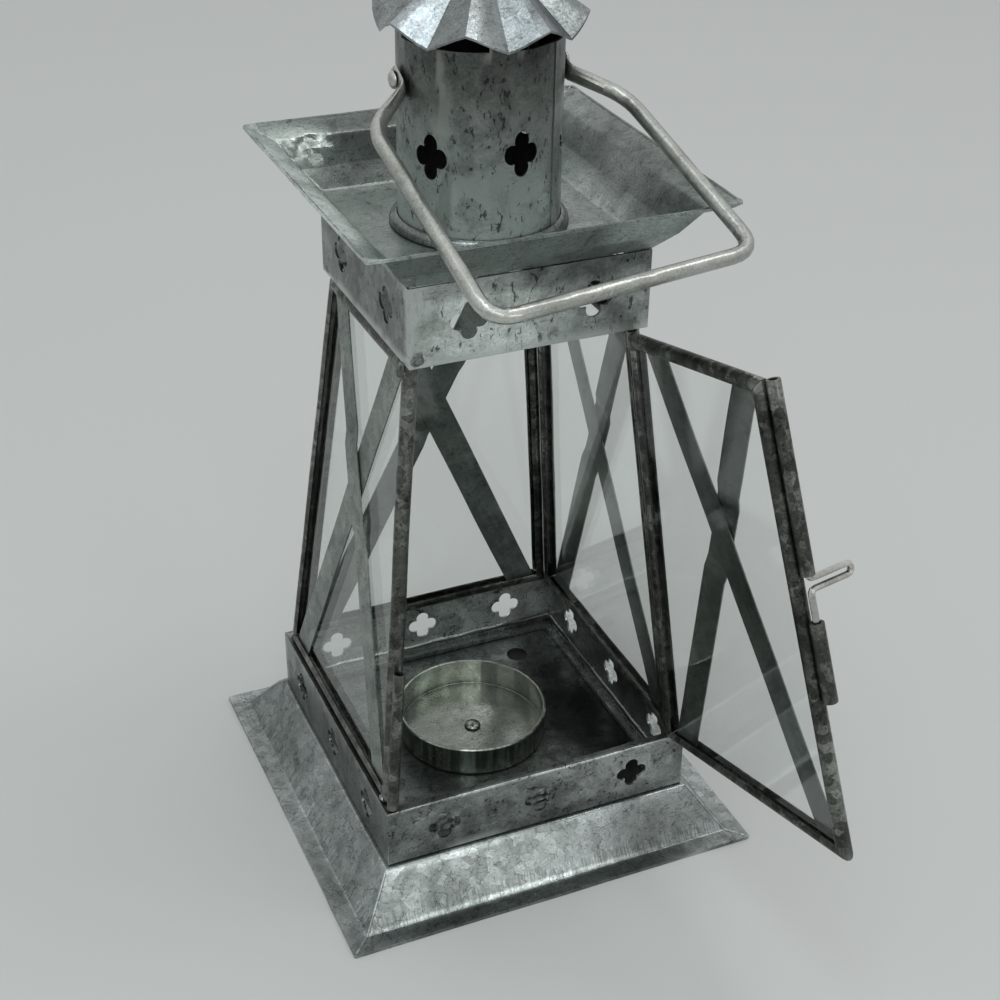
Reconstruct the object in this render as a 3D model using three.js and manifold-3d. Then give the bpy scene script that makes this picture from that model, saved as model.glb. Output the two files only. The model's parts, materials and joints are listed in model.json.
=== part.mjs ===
// Square galvanised candle lantern: a flared plinth, two pierced gallery boxes, four leaning
// glazed frames of which the front one is the door, a tray roof, a chimney with a fluted cap,
// and a bail. Millimetres, +Z up, the door at the front (-Y), its hinge on the right (+X).
// The origin lies on the resting plane, under the middle of the plinth's rear lip.
import * as THREE from "three";
import { mergeVertices } from "three/addons/utils/BufferGeometryUtils.js";
import Module from "manifold-3d";

const wasm = await Module();
wasm.setup();

// Stock and fits
const sheet = 0.8;
const seat = 0.3;
const cutOver = 2;

// Plinth
const plinthWidth = 161;
const plinthHeight = 18.7;
const plinthLip = 7;
const plinthLipThickness = 1.4;
const plinthLedge = 1.5;
const ledgeInside = 4.5;
const ledgeThickness = 2;

// Floor
const floorInset = 1;
const floorHoleRadius = 4.4;
const floorHoleRight = 37;
const floorHoleBack = 43;

// Candle cup
const cupRadius = 29.1;
const cupHeight = 12;
const cupRimRoll = 0.8;
const cupBack = 4.5;
const cupRivetHeadRadius = 3.3;
const cupRivetHeadHeight = 1.8;
const cupRivetShankRadius = 1.5;
const cupRivetTailRadius = 2.6;
const cupRivetTailHeight = 1;

// Gallery boxes
const lowerWidth = 120;
const lowerHeight = 24;
const upperWidth = 85.2;
const upperHeight = 28;
const galleryFlange = 3;
const lowerPiercing = 12.4;
const lowerPitch = 38;
const lowerPerSide = 3;
const upperPiercing = 13;
const upperPitch = 44;
const upperPerSide = 2;

// Leaning frames
const frameHeight = 164.4;
const frameBottomInset = 0.8;
const frameTopInset = 0.4;
const frameTube = 5.4;
const frameWall = 0.6;
const glassThickness = 1.6;
const edgeInset = 2;
const strapWidth = 11.5;
const strapThickness = 0.6;
const strapCrossing = 2.5 * strapWidth;
const strapRamp = 5;

// Door, hinge and latch
const doorOpen = 95.5;
const doorGap = 0.6;
const hingeSideInset = 4.6;
const hingeFrontInset = 1.6;
const latchSideInset = 2.1;
const latchFrontInset = 1.2;
const tubeGap = 0.2;
const tubeRadius = 2.35;
const tubeBore = 1.45;
const knuckleRadius = 1.9;
const knuckleBore = 1.3;
const sleeveRadius = 2.5;
const pinRadius = 1;
const knuckleGap = 0.6;
const postKnuckleShare = 0.2;
const doorKnuckleShare = 0.24;
const keeperRadius = 2.05;
const latchTubeLength = 63.3;
const sleeveLength = 27.5;
const keeperGap = 3.5;
const boltRadius = 1.15;
const boltHandleLength = 16;
const boltHandleSpread = 3.6;
const boltTravel = 9.6;
const boltSetback = 0.5;
const boltTopLength = 24;

// Tray roof
const trayWidth = 126;
const trayHeight = 20;
const trayLip = 8.5;
const trayLipRise = 3.2;
const trayBelly = 1.6;

// Chimney, collar and cap
const chimneyRadius = 27.2;
const chimneyRight = -0.8;
const chimneyHeight = 64;
const chimneyPiercing = 15;
const chimneyPiercingWidth = 12;
const chimneyPiercingTurns = [-148, -83.5, -28];
const chimneyPiercingHeights = [29, 31, 30];
const collarRoll = 2.6;
const collarHeight = 3.2;
const capRadius = 32.6;
const capRidge = 2;
const capRimRise = 1.6;
const capRidgeRise = 5.6;
const capHeight = 27.5;
const capFlutes = 8;
const capFluteTurn = -120.5;
const capFluteSoftness = 0.3;
const tabWidth = 9;
const tabCount = 4;

// Bail
const pivotHeight = 50.6;
const bailRadius = 2.5;
const eyeThickness = 1.8;
const eyeWidth = 7.4;
const bailRivetShankRadius = 1.6;
const bailRivetHeadRadius = 3;
const bailRivetTailRadius = 2.4;
const bailRivetHeadHeight = 1.6;
const bailShoulderOut = 43.5;
const bailShoulderDrop = 20.8;
const bailCornerOut = 46.2;
const bailCornerDrop = 97.6;
const bailBend = 9;
const bailRack = 6;

// Smoothness
const roundSides = 48;
const tubeSides = 14;
const wireSides = 12;

// Levels and places that follow from the sizes above
const degree = Math.PI / 180;
const originBack = plinthWidth / 2 - plinthLip / 2;
const floorTop = plinthHeight - ledgeThickness - seat;
const lowerBottom = plinthHeight + seat;
const lowerTop = lowerBottom + lowerHeight;
const frameBottom = lowerTop + seat;
const upperBottom = frameBottom + frameHeight + seat;
const upperTop = upperBottom + upperHeight;
const trayBottom = upperTop + seat;
const chimneyBottom = trayBottom + sheet + seat;
const chimneyTop = chimneyBottom + chimneyHeight;
const pivotLevel = chimneyBottom + pivotHeight;
const frameBottomHalf = lowerWidth / 2 - frameBottomInset;
const frameTopHalf = upperWidth / 2 - frameTopInset;
const lean = Math.atan2(frameBottomHalf - frameTopHalf, frameHeight);
const leanHeight = Math.hypot(frameHeight, frameBottomHalf - frameTopHalf);
const paneStack = glassThickness + seat + strapThickness;
const latchWindow = 2 * seat + 2 * boltRadius + boltHandleSpread + boltTravel;
const capRimLevel = chimneyTop + capRimRise;
const capApex = capRimLevel + capHeight;

const finishes = {
  sheet: new THREE.MeshStandardMaterial({ color: 0x8d9492, roughness: 0.45, metalness: 0.9 }),
  frame: new THREE.MeshStandardMaterial({ color: 0x4a4e4c, roughness: 0.55, metalness: 0.85 }),
  strap: new THREE.MeshStandardMaterial({ color: 0x6d7573, roughness: 0.5, metalness: 0.85 }),
  cup: new THREE.MeshStandardMaterial({ color: 0x9a9d8c, roughness: 0.35, metalness: 0.95 }),
  bail: new THREE.MeshStandardMaterial({ color: 0xa0a19e, roughness: 0.5, metalness: 0.8 }),
  wire: new THREE.MeshStandardMaterial({ color: 0xd8dadb, roughness: 0.2, metalness: 1 }),
  glass: new THREE.MeshStandardMaterial({
    color: 0xeef4f2,
    roughness: 0.05,
    metalness: 0,
    transparent: true,
    opacity: 0.25,
  }),
};

function piece(name, geometry, finish) {
  const mesh = new THREE.Mesh(geometry, finishes[finish]);
  mesh.name = name;
  return mesh;
}

// Closed surfaces
function signedVolume(points, index) {
  let volume = 0;
  for (let i = 0; i < index.length; i += 3) {
    const [a, b, c] = [points[index[i]], points[index[i + 1]], points[index[i + 2]]];
    volume += a.dot(new THREE.Vector3().crossVectors(b, c));
  }
  return volume;
}

function facingOut(points, index) {
  if (signedVolume(points, index) < 0) {
    index.reverse();
  }
  const geometry = new THREE.BufferGeometry().setFromPoints(points);
  geometry.setIndex(index);
  return geometry;
}

function capTriangles(outline, offset) {
  const faces = THREE.ShapeUtils.triangulateShape(outline, []);
  const turn = THREE.ShapeUtils.area(outline) > 0;
  return faces.flatMap(([a, b, c]) => {
    const positive = THREE.ShapeUtils.area([outline[a], outline[b], outline[c]]) > 0;
    const order = positive === turn ? [a, b, c] : [a, c, b];
    return order.map((k) => k + offset);
  });
}

function joinRings(rings, closed) {
  const count = rings[0].length;
  const index = [];
  const bands = closed ? rings.length : rings.length - 1;
  for (let r = 0; r < bands; r++) {
    const here = r * count;
    const next = ((r + 1) % rings.length) * count;
    for (let i = 0; i < count; i++) {
      const j = (i + 1) % count;
      index.push(here + i, here + j, next + j, here + i, next + j, next + i);
    }
  }
  return index;
}

// A body lofted through rings of equal length, with both ends capped by the outline
function loft(rings, outline) {
  const index = joinRings(rings, false);
  const start = capTriangles(outline, 0);
  const end = capTriangles(outline, (rings.length - 1) * outline.length);
  start.reverse();
  index.push(...start, ...end);
  return facingOut(rings.flat(), index);
}

// A closed profile of [half width, height] points carried round a square with mitred corners
function squareSweep(profile) {
  const rings = profile.map(([half, z]) => [
    new THREE.Vector3(-half, -half, z),
    new THREE.Vector3(half, -half, z),
    new THREE.Vector3(half, half, z),
    new THREE.Vector3(-half, half, z),
  ]);
  return facingOut(rings.flat(), joinRings(rings, true));
}

// A closed profile of [radius, height] points turned about the vertical axis
function turned(profile, sides) {
  const points = profile.map(([r, z]) => new THREE.Vector2(r, z));
  const geometry = new THREE.LatheGeometry(points, sides);
  geometry.rotateX(Math.PI / 2);
  return merged(geometry);
}

function tube(outer, inner, length, sides) {
  return turned([[inner, 0], [outer, 0], [outer, length], [inner, length], [inner, 0]], sides);
}

function rod(radius, length, sides) {
  return turned([[0, 0], [radius, 0], [radius, length], [0, length]], sides);
}

function merged(geometry) {
  geometry.deleteAttribute("normal");
  geometry.deleteAttribute("uv");
  return mergeVertices(geometry, 1e-3);
}

// Cutting and joining
function solidOf(geometry) {
  const closed = merged(geometry.clone());
  const vertProperties = new Float32Array(closed.attributes.position.array);
  const triVerts = new Uint32Array(closed.index.array);
  return new wasm.Manifold(new wasm.Mesh({ numProp: 3, vertProperties, triVerts }));
}

function geometryOf(solid) {
  const mesh = solid.getMesh();
  const geometry = new THREE.BufferGeometry();
  geometry.setAttribute("position", new THREE.BufferAttribute(mesh.vertProperties, 3));
  geometry.setIndex(new THREE.BufferAttribute(mesh.triVerts, 1));
  return merged(geometry);
}

function cut(body, cutters) {
  const whole = cutters.reduce((rest, c) => rest.subtract(solidOf(c)), solidOf(body));
  return geometryOf(whole);
}

// Four round lobes that meet in inward cusps, cut as a prism along Y
function quatrefoilCutter(size, depth) {
  const lobe = 0.22 * size;
  const reach = size / 2 - lobe;
  const sweep = 0.75 * Math.PI - Math.acos(reach / Math.SQRT2 / lobe);
  const shape = new THREE.Shape();
  for (let k = 0; k < 4; k++) {
    const middle = (k * Math.PI) / 2;
    const x = reach * Math.cos(middle);
    const y = reach * Math.sin(middle);
    shape.absarc(x, y, lobe, middle - sweep, middle + sweep, false);
  }
  const geometry = new THREE.ExtrudeGeometry(shape, {
    depth,
    bevelEnabled: false,
    curveSegments: 6,
  });
  geometry.translate(0, 0, -depth / 2);
  geometry.rotateX(Math.PI / 2);
  return geometry;
}

// Plinth, floor and cup
function plinthGeometry() {
  const outer = plinthWidth / 2;
  const crease = outer - plinthLip;
  const foot = lowerWidth / 2 + plinthLedge;
  const slope = (crease - foot) / (plinthHeight - plinthLipThickness);
  const skin = sheet * Math.hypot(1, slope);
  const under = (z) => foot - skin + (plinthHeight - z) * slope;
  const ledgeUnder = plinthHeight - ledgeThickness;
  const inner = lowerWidth / 2 - ledgeInside;
  return squareSweep([
    [outer, 0],
    [outer, plinthLipThickness],
    [crease, plinthLipThickness],
    [foot, plinthHeight],
    [inner, plinthHeight],
    [inner, ledgeUnder],
    [under(ledgeUnder), ledgeUnder],
    [under(0), 0],
  ]);
}

function floorGeometry() {
  const side = lowerWidth - 2 * floorInset;
  const plate = new THREE.BoxGeometry(side, side, sheet);
  plate.translate(0, 0, floorTop - sheet / 2);
  const vent = rod(floorHoleRadius, sheet + 2 * cutOver, 24);
  vent.translate(floorHoleRight, floorHoleBack, floorTop - sheet - cutOver);
  const rivetHole = rod(cupRivetShankRadius + seat, sheet + 2 * cutOver, tubeSides);
  rivetHole.translate(0, cupBack, floorTop - sheet - cutOver);
  return cut(plate, [vent, rivetHole]);
}

function cupGeometry() {
  const hole = cupRivetShankRadius + seat;
  const bore = cupRadius - sheet;
  const rim = cupHeight - cupRimRoll;
  const besideRivet = cupRivetHeadRadius + seat;
  return turned([
    [hole, 0],
    [cupRadius - sheet / 2, 0],
    [cupRadius, sheet / 2],
    [cupRadius, rim - cupRimRoll],
    [cupRadius + cupRimRoll / 2, rim - cupRimRoll / 2],
    [cupRadius + cupRimRoll / 2, rim + cupRimRoll / 2],
    [cupRadius, cupHeight],
    [bore, cupHeight],
    [bore, sheet],
    [besideRivet, sheet],
    [hole, sheet],
    [hole, 0],
  ], roundSides);
}

// A rivet standing on z = 0 with its domed head above and its tail below the grip
function rivetGeometry(shank, head, headHeight, tail, tailHeight, grip) {
  const dome = [];
  for (let k = 0; k <= 4; k++) {
    const a = (k * Math.PI) / 8;
    dome.push([head * Math.cos(a), headHeight * Math.sin(a)]);
  }
  dome[4][0] = 0;
  return turned([
    [0, -grip - tailHeight],
    [tail, -grip - tailHeight],
    [tail, -grip],
    [shank, -grip],
    [shank, 0],
    ...dome,
  ], 20);
}

function cupRivet() {
  const grip = 2 * sheet + 3 * seat;
  const geometry = rivetGeometry(
    cupRivetShankRadius, cupRivetHeadRadius, cupRivetHeadHeight,
    cupRivetTailRadius, cupRivetTailHeight, grip,
  );
  geometry.translate(0, cupBack, floorTop + sheet + 2 * seat);
  return piece("cup_rivet", geometry, "cup");
}

// Gallery boxes
function galleryGeometry(width, bottom, height, flangeAtTop, piercing, pitch, perSide) {
  const half = width / 2;
  const inner = half - sheet;
  const flange = half - galleryFlange;
  const top = bottom + height;
  const wall = flangeAtTop
    ? [[half, bottom], [half, top], [flange, top], [flange, top - sheet],
       [inner, top - sheet], [inner, bottom]]
    : [[half, bottom], [half, top], [inner, top], [inner, bottom + sheet],
       [flange, bottom + sheet], [flange, bottom]];
  const cutters = [];
  for (let k = 0; k < perSide; k++) {
    const along = (k - (perSide - 1) / 2) * pitch;
    const through = quatrefoilCutter(piercing, width + cutOver);
    through.translate(along, 0, bottom + height / 2);
    const across = through.clone().rotateZ(Math.PI / 2);
    cutters.push(through, across);
  }
  return cut(squareSweep(wall), cutters);
}

// Leaning frames. Inside a frame's own plane, u runs to the right as seen from outside,
// v runs up the lean, and w runs outwards from the frame's outer face.
function inPlane(u, v, w) {
  return new THREE.Vector3(u, -w, v);
}

function frameCorners(bottom, top, leftRoom, rightRoom) {
  const narrowing = (frameBottomHalf - frameTopHalf) / leanHeight;
  const low = frameBottomHalf - bottom * narrowing;
  const high = frameBottomHalf - top * narrowing;
  return [
    new THREE.Vector2(leftRoom - low, bottom),
    new THREE.Vector2(low - rightRoom, bottom),
    new THREE.Vector2(high - rightRoom, top),
    new THREE.Vector2(leftRoom - high, top),
  ];
}

// Moves each corner of a convex outline inwards by the same distance from both its edges
function insetCorner(corners, i, distance) {
  const count = corners.length;
  const before = corners[i].clone().sub(corners[(i + count - 1) % count]).normalize();
  const after = corners[(i + 1) % count].clone().sub(corners[i]).normalize();
  const normalBefore = new THREE.Vector2(-before.y, before.x);
  const normalAfter = new THREE.Vector2(-after.y, after.x);
  const reach = distance / (1 + normalBefore.dot(normalAfter));
  return corners[i].clone().addScaledVector(normalBefore.add(normalAfter), reach);
}

// How far a frame's edge stays from the corner to leave room for a tube there. The tube lies
// a side inset along the frame and a face inset behind the frame's outer face.
function roomBeside(sideInset, faceInset, radius) {
  const reach = frameTube / 2 + radius + tubeGap;
  const rise = frameTube / 2 - faceInset;
  return sideInset + Math.sqrt(reach ** 2 - rise ** 2) - frameTube / 2;
}

// The slotted tube's section: distance in from the outer edge, and height off the outer face
function slottedOutline() {
  const radius = frameTube / 2;
  const bore = radius - frameWall;
  const slot = Math.asin((paneStack / 2 + seat) / bore);
  const steps = 10;
  const arc = (r) => Array.from({ length: steps + 1 }, (_, k) => {
    const a = slot + ((2 * Math.PI - 2 * slot) * k) / steps;
    return new THREE.Vector2(radius + r * Math.cos(a), r * Math.sin(a) - radius);
  });
  return [...arc(radius), ...arc(bore).reverse()];
}

function frameMember(corners, i) {
  const outline = slottedOutline();
  const j = (i + 1) % corners.length;
  const along = corners[j].clone().sub(corners[i]).normalize();
  const ring = (corner, shift) => outline.map((p) => {
    const q = insetCorner(corners, corner, p.x).addScaledVector(along, shift);
    return inPlane(q.x, q.y, p.y);
  });
  return loft([ring(i, seat / 2), ring(j, -seat / 2)], outline);
}

// A flat sheet that fills the frame as far as the tubes' slots, between two heights
function paneBetween(corners, low, high) {
  const outline = corners.map((_, i) => insetCorner(corners, i, edgeInset));
  const ring = (w) => outline.map((p) => inPlane(p.x, p.y, w));
  return loft([ring(low), ring(high)], outline);
}

function glassGeometry(corners) {
  const low = -(frameTube + paneStack) / 2;
  return paneBetween(corners, low, low + glassThickness);
}

function strapEnd(corners, i, sideways) {
  const towards = corners[sideways].clone().sub(corners[i]).normalize();
  const reach = frameTube / 2 + strapWidth / 2;
  return insetCorner(corners, i, frameTube / 2).addScaledVector(towards, reach);
}

// A flat strap set from corner to corner in front of the pane and trimmed to the frame's
// slots; the upper one of the pair steps over the lower one where they cross
function strapGeometry(corners, stepsOver) {
  const ends = [[0, 1], [1, 0], [2, 3], [3, 2]].map(([i, j]) => strapEnd(corners, i, j));
  const [start, end] = stepsOver ? [ends[1], ends[3]] : [ends[0], ends[2]];
  const [otherStart, otherEnd] = stepsOver ? [ends[0], ends[2]] : [ends[1], ends[3]];
  const along = end.clone().sub(start);
  const length = along.length();
  along.normalize();
  const across = new THREE.Vector2(-along.y, along.x);
  const other = otherEnd.clone().sub(otherStart);
  const crossing = otherStart.clone().sub(start).cross(other) / along.cross(other);
  const step = stepsOver ? strapThickness + seat : 0;
  const flat = strapCrossing / 2;
  const stations = [
    [-strapWidth, 0], [crossing - flat - strapRamp, 0], [crossing - flat, step],
    [crossing + flat, step], [crossing + flat + strapRamp, 0], [length + strapWidth, 0],
  ];
  const section = [[-1, 0], [1, 0], [1, 1], [-1, 1]];
  const outline = section.map(([a, b]) => (
    new THREE.Vector2((a * strapWidth) / 2, b * strapThickness)
  ));
  const foot = (paneStack - frameTube) / 2 - strapThickness;
  const rings = stations.map(([s, rise]) => outline.map((p) => {
    const q = start.clone().addScaledVector(along, s).addScaledVector(across, p.x);
    return inPlane(q.x, q.y, foot + rise + p.y);
  }));
  const room = paneBetween(corners, -frameTube, frameTube);
  return geometryOf(solidOf(loft(rings, outline)).intersect(solidOf(room)));
}

// The four slotted tubes of a frame with its pane and its two crossed straps
function glazedFrame(name, stiles, corners) {
  const members = [`${name}_bottom_rail`, `${name}_${stiles[1]}_stile`,
    `${name}_top_rail`, `${name}_${stiles[0]}_stile`];
  const group = new THREE.Group();
  members.forEach((member, i) => group.add(piece(member, frameMember(corners, i), "frame")));
  group.add(piece(`${name}_glass`, glassGeometry(corners), "glass"));
  group.add(piece(`${name}_strap_under`, strapGeometry(corners, false), "strap"));
  group.add(piece(`${name}_strap_over`, strapGeometry(corners, true), "strap"));
  return group;
}

function leaned(group) {
  group.rotation.x = -lean;
  group.position.set(0, -frameBottomHalf, frameBottom);
  const turn = new THREE.Group();
  turn.add(group);
  return turn;
}

function fixedFrame(name, stiles, rooms, quarterTurns) {
  const corners = frameCorners(0, leanHeight, ...rooms);
  const side = leaned(glazedFrame(name, stiles, corners));
  side.rotation.z = (quarterTurns * Math.PI) / 2;
  return side;
}

// Corner tubes. A corner group's own Z runs up the leaning corner line from its foot.
const taper = frameBottomHalf - frameTopHalf;
const cornerLength = Math.hypot(frameHeight, taper, taper);

function cornerGroup(side, sideInset, frontInset) {
  const x = frameBottomHalf - sideInset;
  const y = frameBottomHalf - frontInset;
  const foot = new THREE.Vector3(side * x, -y, frameBottom);
  const head = new THREE.Vector3(side * (x - taper), taper - y, frameBottom + frameHeight);
  const up = head.sub(foot).normalize();
  const outwards = new THREE.Vector3(0, -1, 0).addScaledVector(up, up.y).normalize();
  const right = new THREE.Vector3().crossVectors(up, outwards);
  const group = new THREE.Group();
  group.quaternion.setFromRotationMatrix(new THREE.Matrix4().makeBasis(outwards, right, up));
  group.position.copy(foot);
  return group;
}

const hingeCorner = () => cornerGroup(1, hingeSideInset, hingeFrontInset);
const latchCorner = () => cornerGroup(-1, latchSideInset, latchFrontInset);

function cornerTube(name, outer, inner, bottom, length) {
  const geometry = tube(outer, inner, length, tubeSides);
  geometry.translate(0, 0, bottom);
  return piece(name, geometry, "frame");
}

// Hinge: knuckles on the post and on the door take turns along one pin
const knuckleBottom = doorGap;
const knuckleRun = cornerLength - 2 * doorGap;
const postKnuckle = knuckleRun * postKnuckleShare;
const doorKnuckle = knuckleRun * doorKnuckleShare;
const middleKnuckle = knuckleRun - 2 * postKnuckle - 2 * doorKnuckle - 4 * knuckleGap;

function hingeTubes(onDoor) {
  const runs = [
    ["hinge_knuckle_bottom", postKnuckle, false],
    ["door_knuckle_lower", doorKnuckle, true],
    ["hinge_knuckle_middle", middleKnuckle, false],
    ["door_knuckle_upper", doorKnuckle, true],
    ["hinge_knuckle_top", postKnuckle, false],
  ];
  const tubes = [];
  let level = knuckleBottom;
  for (const [name, length, rides] of runs) {
    if (rides === onDoor) {
      tubes.push(cornerTube(name, knuckleRadius, knuckleBore, level, length));
    }
    level += length + knuckleGap;
  }
  return tubes;
}

function hingePin() {
  const geometry = rod(pinRadius, cornerLength - doorGap, tubeSides);
  geometry.translate(0, 0, doorGap / 2);
  return piece("hinge_pin", geometry, "frame");
}

// Latch: a wire bolt slides in a tube and a sleeve on the door, down into the post's keeper
const latchTubeBottom = cornerLength - doorGap - latchTubeLength;
const sleeveBottom = latchTubeBottom - latchWindow - sleeveLength;
const keeperLength = sleeveBottom - keeperGap - seat;

function latchTubes() {
  return [
    cornerTube("latch_tube", tubeRadius, tubeBore, latchTubeBottom, latchTubeLength),
    cornerTube("latch_sleeve", sleeveRadius, tubeBore, sleeveBottom, sleeveLength),
  ];
}

function boltGeometry() {
  const upperLeg = latchTubeBottom - boltRadius - seat;
  const lowerLeg = upperLeg - boltHandleSpread;
  const bend = boltHandleSpread / 2;
  const path = new THREE.CurvePath();
  const at = (x, z) => new THREE.Vector3(x, 0, z);
  const line = (a, b) => path.add(new THREE.LineCurve3(a, b));
  const turn = (a, corner, b) => path.add(new THREE.QuadraticBezierCurve3(a, corner, b));
  const tip = boltHandleLength;
  line(at(0, upperLeg + boltTopLength), at(0, upperLeg + bend));
  turn(at(0, upperLeg + bend), at(0, upperLeg), at(bend, upperLeg));
  line(at(bend, upperLeg), at(tip - bend, upperLeg));
  turn(at(tip - bend, upperLeg), at(tip, upperLeg), at(tip, upperLeg - bend));
  turn(at(tip, lowerLeg + bend), at(tip, lowerLeg), at(tip - bend, lowerLeg));
  line(at(tip - bend, lowerLeg), at(bend, lowerLeg));
  turn(at(bend, lowerLeg), at(0, lowerLeg), at(0, lowerLeg - bend));
  line(at(0, lowerLeg - bend), at(0, sleeveBottom + boltSetback));
  const section = new THREE.Shape();
  section.absarc(0, 0, boltRadius, 0, 2 * Math.PI, false);
  const geometry = new THREE.ExtrudeGeometry(section, {
    steps: 90,
    curveSegments: 4,
    extrudePath: path,
  });
  return merged(geometry);
}

function doorAssembly() {
  const hinge = hingeCorner();
  const latch = latchCorner();
  latch.add(...latchTubes());
  latch.add(piece("latch_bolt", boltGeometry(), "wire"));
  const closed = new THREE.Group();
  const latchRoom = roomBeside(latchSideInset, latchFrontInset, sleeveRadius);
  const hingeRoom = roomBeside(hingeSideInset, hingeFrontInset, knuckleRadius);
  const corners = frameCorners(doorGap, leanHeight - doorGap, latchRoom, hingeRoom);
  closed.add(leaned(glazedFrame("door", ["latch", "hinge"], corners)));
  closed.add(latch);
  const knuckles = hingeCorner();
  knuckles.add(...hingeTubes(true));
  closed.add(knuckles);
  const axis = new THREE.Vector3(0, 0, 1).applyQuaternion(hinge.quaternion);
  const swing = new THREE.Quaternion().setFromAxisAngle(axis, doorOpen * degree);
  const foot = hinge.position.clone();
  const open = new THREE.Group();
  open.quaternion.copy(swing);
  open.position.copy(foot).sub(foot.clone().applyQuaternion(swing));
  open.add(closed);
  return open;
}

// Tray roof: the plinth's form upside down, with a hole for the chimney
function trayGeometry() {
  const rim = trayWidth / 2;
  const crease = rim - trayLip;
  const foot = upperWidth / 2;
  const lipLevel = trayBottom + trayHeight - trayLipRise;
  const middle = (foot + crease) / 2;
  const belly = (trayBottom + lipLevel) / 2 - trayBelly;
  const top = trayBottom + trayHeight;
  const inner = chimneyRadius / 2;
  const under = [[inner, trayBottom], [foot, trayBottom], [middle + sheet / 2, belly],
    [crease + sheet / 2, lipLevel - sheet], [rim, top - sheet]];
  const above = [[rim, top + sheet / 2], [crease, lipLevel], [middle - sheet / 2, belly + sheet / 2],
    [foot - sheet, trayBottom + sheet], [inner, trayBottom + sheet]];
  const opening = rod(chimneyRadius - sheet, 2 * cutOver + sheet, roundSides);
  opening.translate(chimneyRight, 0, trayBottom - cutOver);
  return cut(squareSweep([...under, ...above]), [opening]);
}

// Cap
// 1 on a ridge and 0 in a valley, with nearly flat flanks between them
function capRidgeShare(angle) {
  const phase = capFlutes * (angle - capFluteTurn * degree);
  const straight = Math.acos(Math.cos(phase)) / Math.PI;
  const round = (1 - Math.cos(phase)) / 2;
  return 1 - THREE.MathUtils.lerp(straight, round, capFluteSoftness);
}

function capPoint(angle, share, drop) {
  const ridge = capRidgeShare(angle);
  const radius = share * (capRadius + capRidge * ridge);
  const rim = capRimLevel + capRidgeRise * ridge;
  const z = capApex + (rim - capApex) * share - drop;
  return new THREE.Vector3(radius * Math.cos(angle), radius * Math.sin(angle), z);
}

function capGeometry() {
  const count = capFlutes * 8;
  const shares = [0.35, 1];
  const rings = [];
  const ringAt = (share, drop) => {
    const ring = [];
    for (let i = 0; i < count; i++) {
      ring.push(capPoint(capFluteTurn * degree + (i * 2 * Math.PI) / count, share, drop));
    }
    return ring;
  };
  shares.forEach((share) => rings.push(ringAt(share, 0)));
  shares.toReversed().forEach((share) => rings.push(ringAt(share, sheet)));
  const index = joinRings(rings, false);
  const points = rings.flat();
  const apex = points.push(new THREE.Vector3(0, 0, capApex)) - 1;
  const underApex = points.push(new THREE.Vector3(0, 0, capApex - sheet)) - 1;
  const lastRing = (rings.length - 1) * count;
  for (let i = 0; i < count; i++) {
    const j = (i + 1) % count;
    index.push(apex, j, i, underApex, lastRing + i, lastRing + j);
  }
  return facingOut(points, index);
}

// Chimney: a tube with pierced walls and four tabs that carry the cap over an open vent
function ringSector(from, to, bottom, height) {
  const shape = new THREE.Shape();
  shape.absarc(0, 0, chimneyRadius + cutOver, from, to, false);
  shape.absarc(0, 0, chimneyRadius - sheet - cutOver, to, from, true);
  const geometry = new THREE.ExtrudeGeometry(shape, {
    depth: height,
    bevelEnabled: false,
    curveSegments: 12,
  });
  geometry.translate(0, 0, bottom);
  return geometry;
}

function chimneyGeometry() {
  const valley = (capFluteTurn + 180 / capFlutes) * degree;
  const tabTop = capPoint(valley, chimneyRadius / capRadius, sheet + seat).z;
  const body = tube(chimneyRadius, chimneyRadius - sheet, tabTop - chimneyBottom, roundSides);
  body.translate(0, 0, chimneyBottom);
  const cutters = [];
  for (let k = 0; k < chimneyPiercingTurns.length; k++) {
    const through = quatrefoilCutter(chimneyPiercing, 2 * chimneyRadius + cutOver);
    through.scale(chimneyPiercingWidth / chimneyPiercing, 1, 1);
    through.rotateZ((chimneyPiercingTurns[k] - 90) * degree);
    through.translate(0, 0, chimneyBottom + chimneyPiercingHeights[k]);
    cutters.push(through);
  }
  const tabTurn = (2 * Math.PI) / tabCount;
  const halfTab = tabWidth / 2 / chimneyRadius;
  for (let k = 0; k < tabCount; k++) {
    const from = valley + k * tabTurn + halfTab;
    const to = valley + (k + 1) * tabTurn - halfTab;
    cutters.push(ringSector(from, to, chimneyTop, tabTop - chimneyTop + cutOver));
  }
  const pivotHole = rod(bailRivetShankRadius + seat, 2 * (chimneyRadius + cutOver), tubeSides);
  pivotHole.translate(0, 0, -chimneyRadius - cutOver);
  pivotHole.rotateY(Math.PI / 2);
  pivotHole.translate(0, 0, pivotLevel);
  cutters.push(pivotHole);
  return cut(body, cutters);
}

function collarGeometry() {
  const inner = chimneyRadius + seat;
  const profile = [[inner, 0], [inner + collarRoll, 0]];
  for (let k = 1; k <= 5; k++) {
    const a = (k * Math.PI) / 10;
    profile.push([inner + collarRoll * Math.cos(a), collarHeight * Math.sin(a)]);
  }
  profile[profile.length - 1][0] = inner;
  profile.push([inner, 0]);
  const geometry = turned(profile, roundSides);
  geometry.translate(0, 0, chimneyBottom);
  return geometry;
}

// Bail, made flat in its own plane: x runs across, and drop runs away from the pivots
const eyeMiddle = chimneyRadius + seat + eyeThickness / 2;
const rimReach = trayWidth / 2;
const rimDrop = pivotLevel - (trayBottom + trayHeight + sheet / 2);
const bailRest = Math.atan2(rimDrop, rimReach)
  - Math.asin((bailRadius + seat) / Math.hypot(rimDrop, rimReach));

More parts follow.
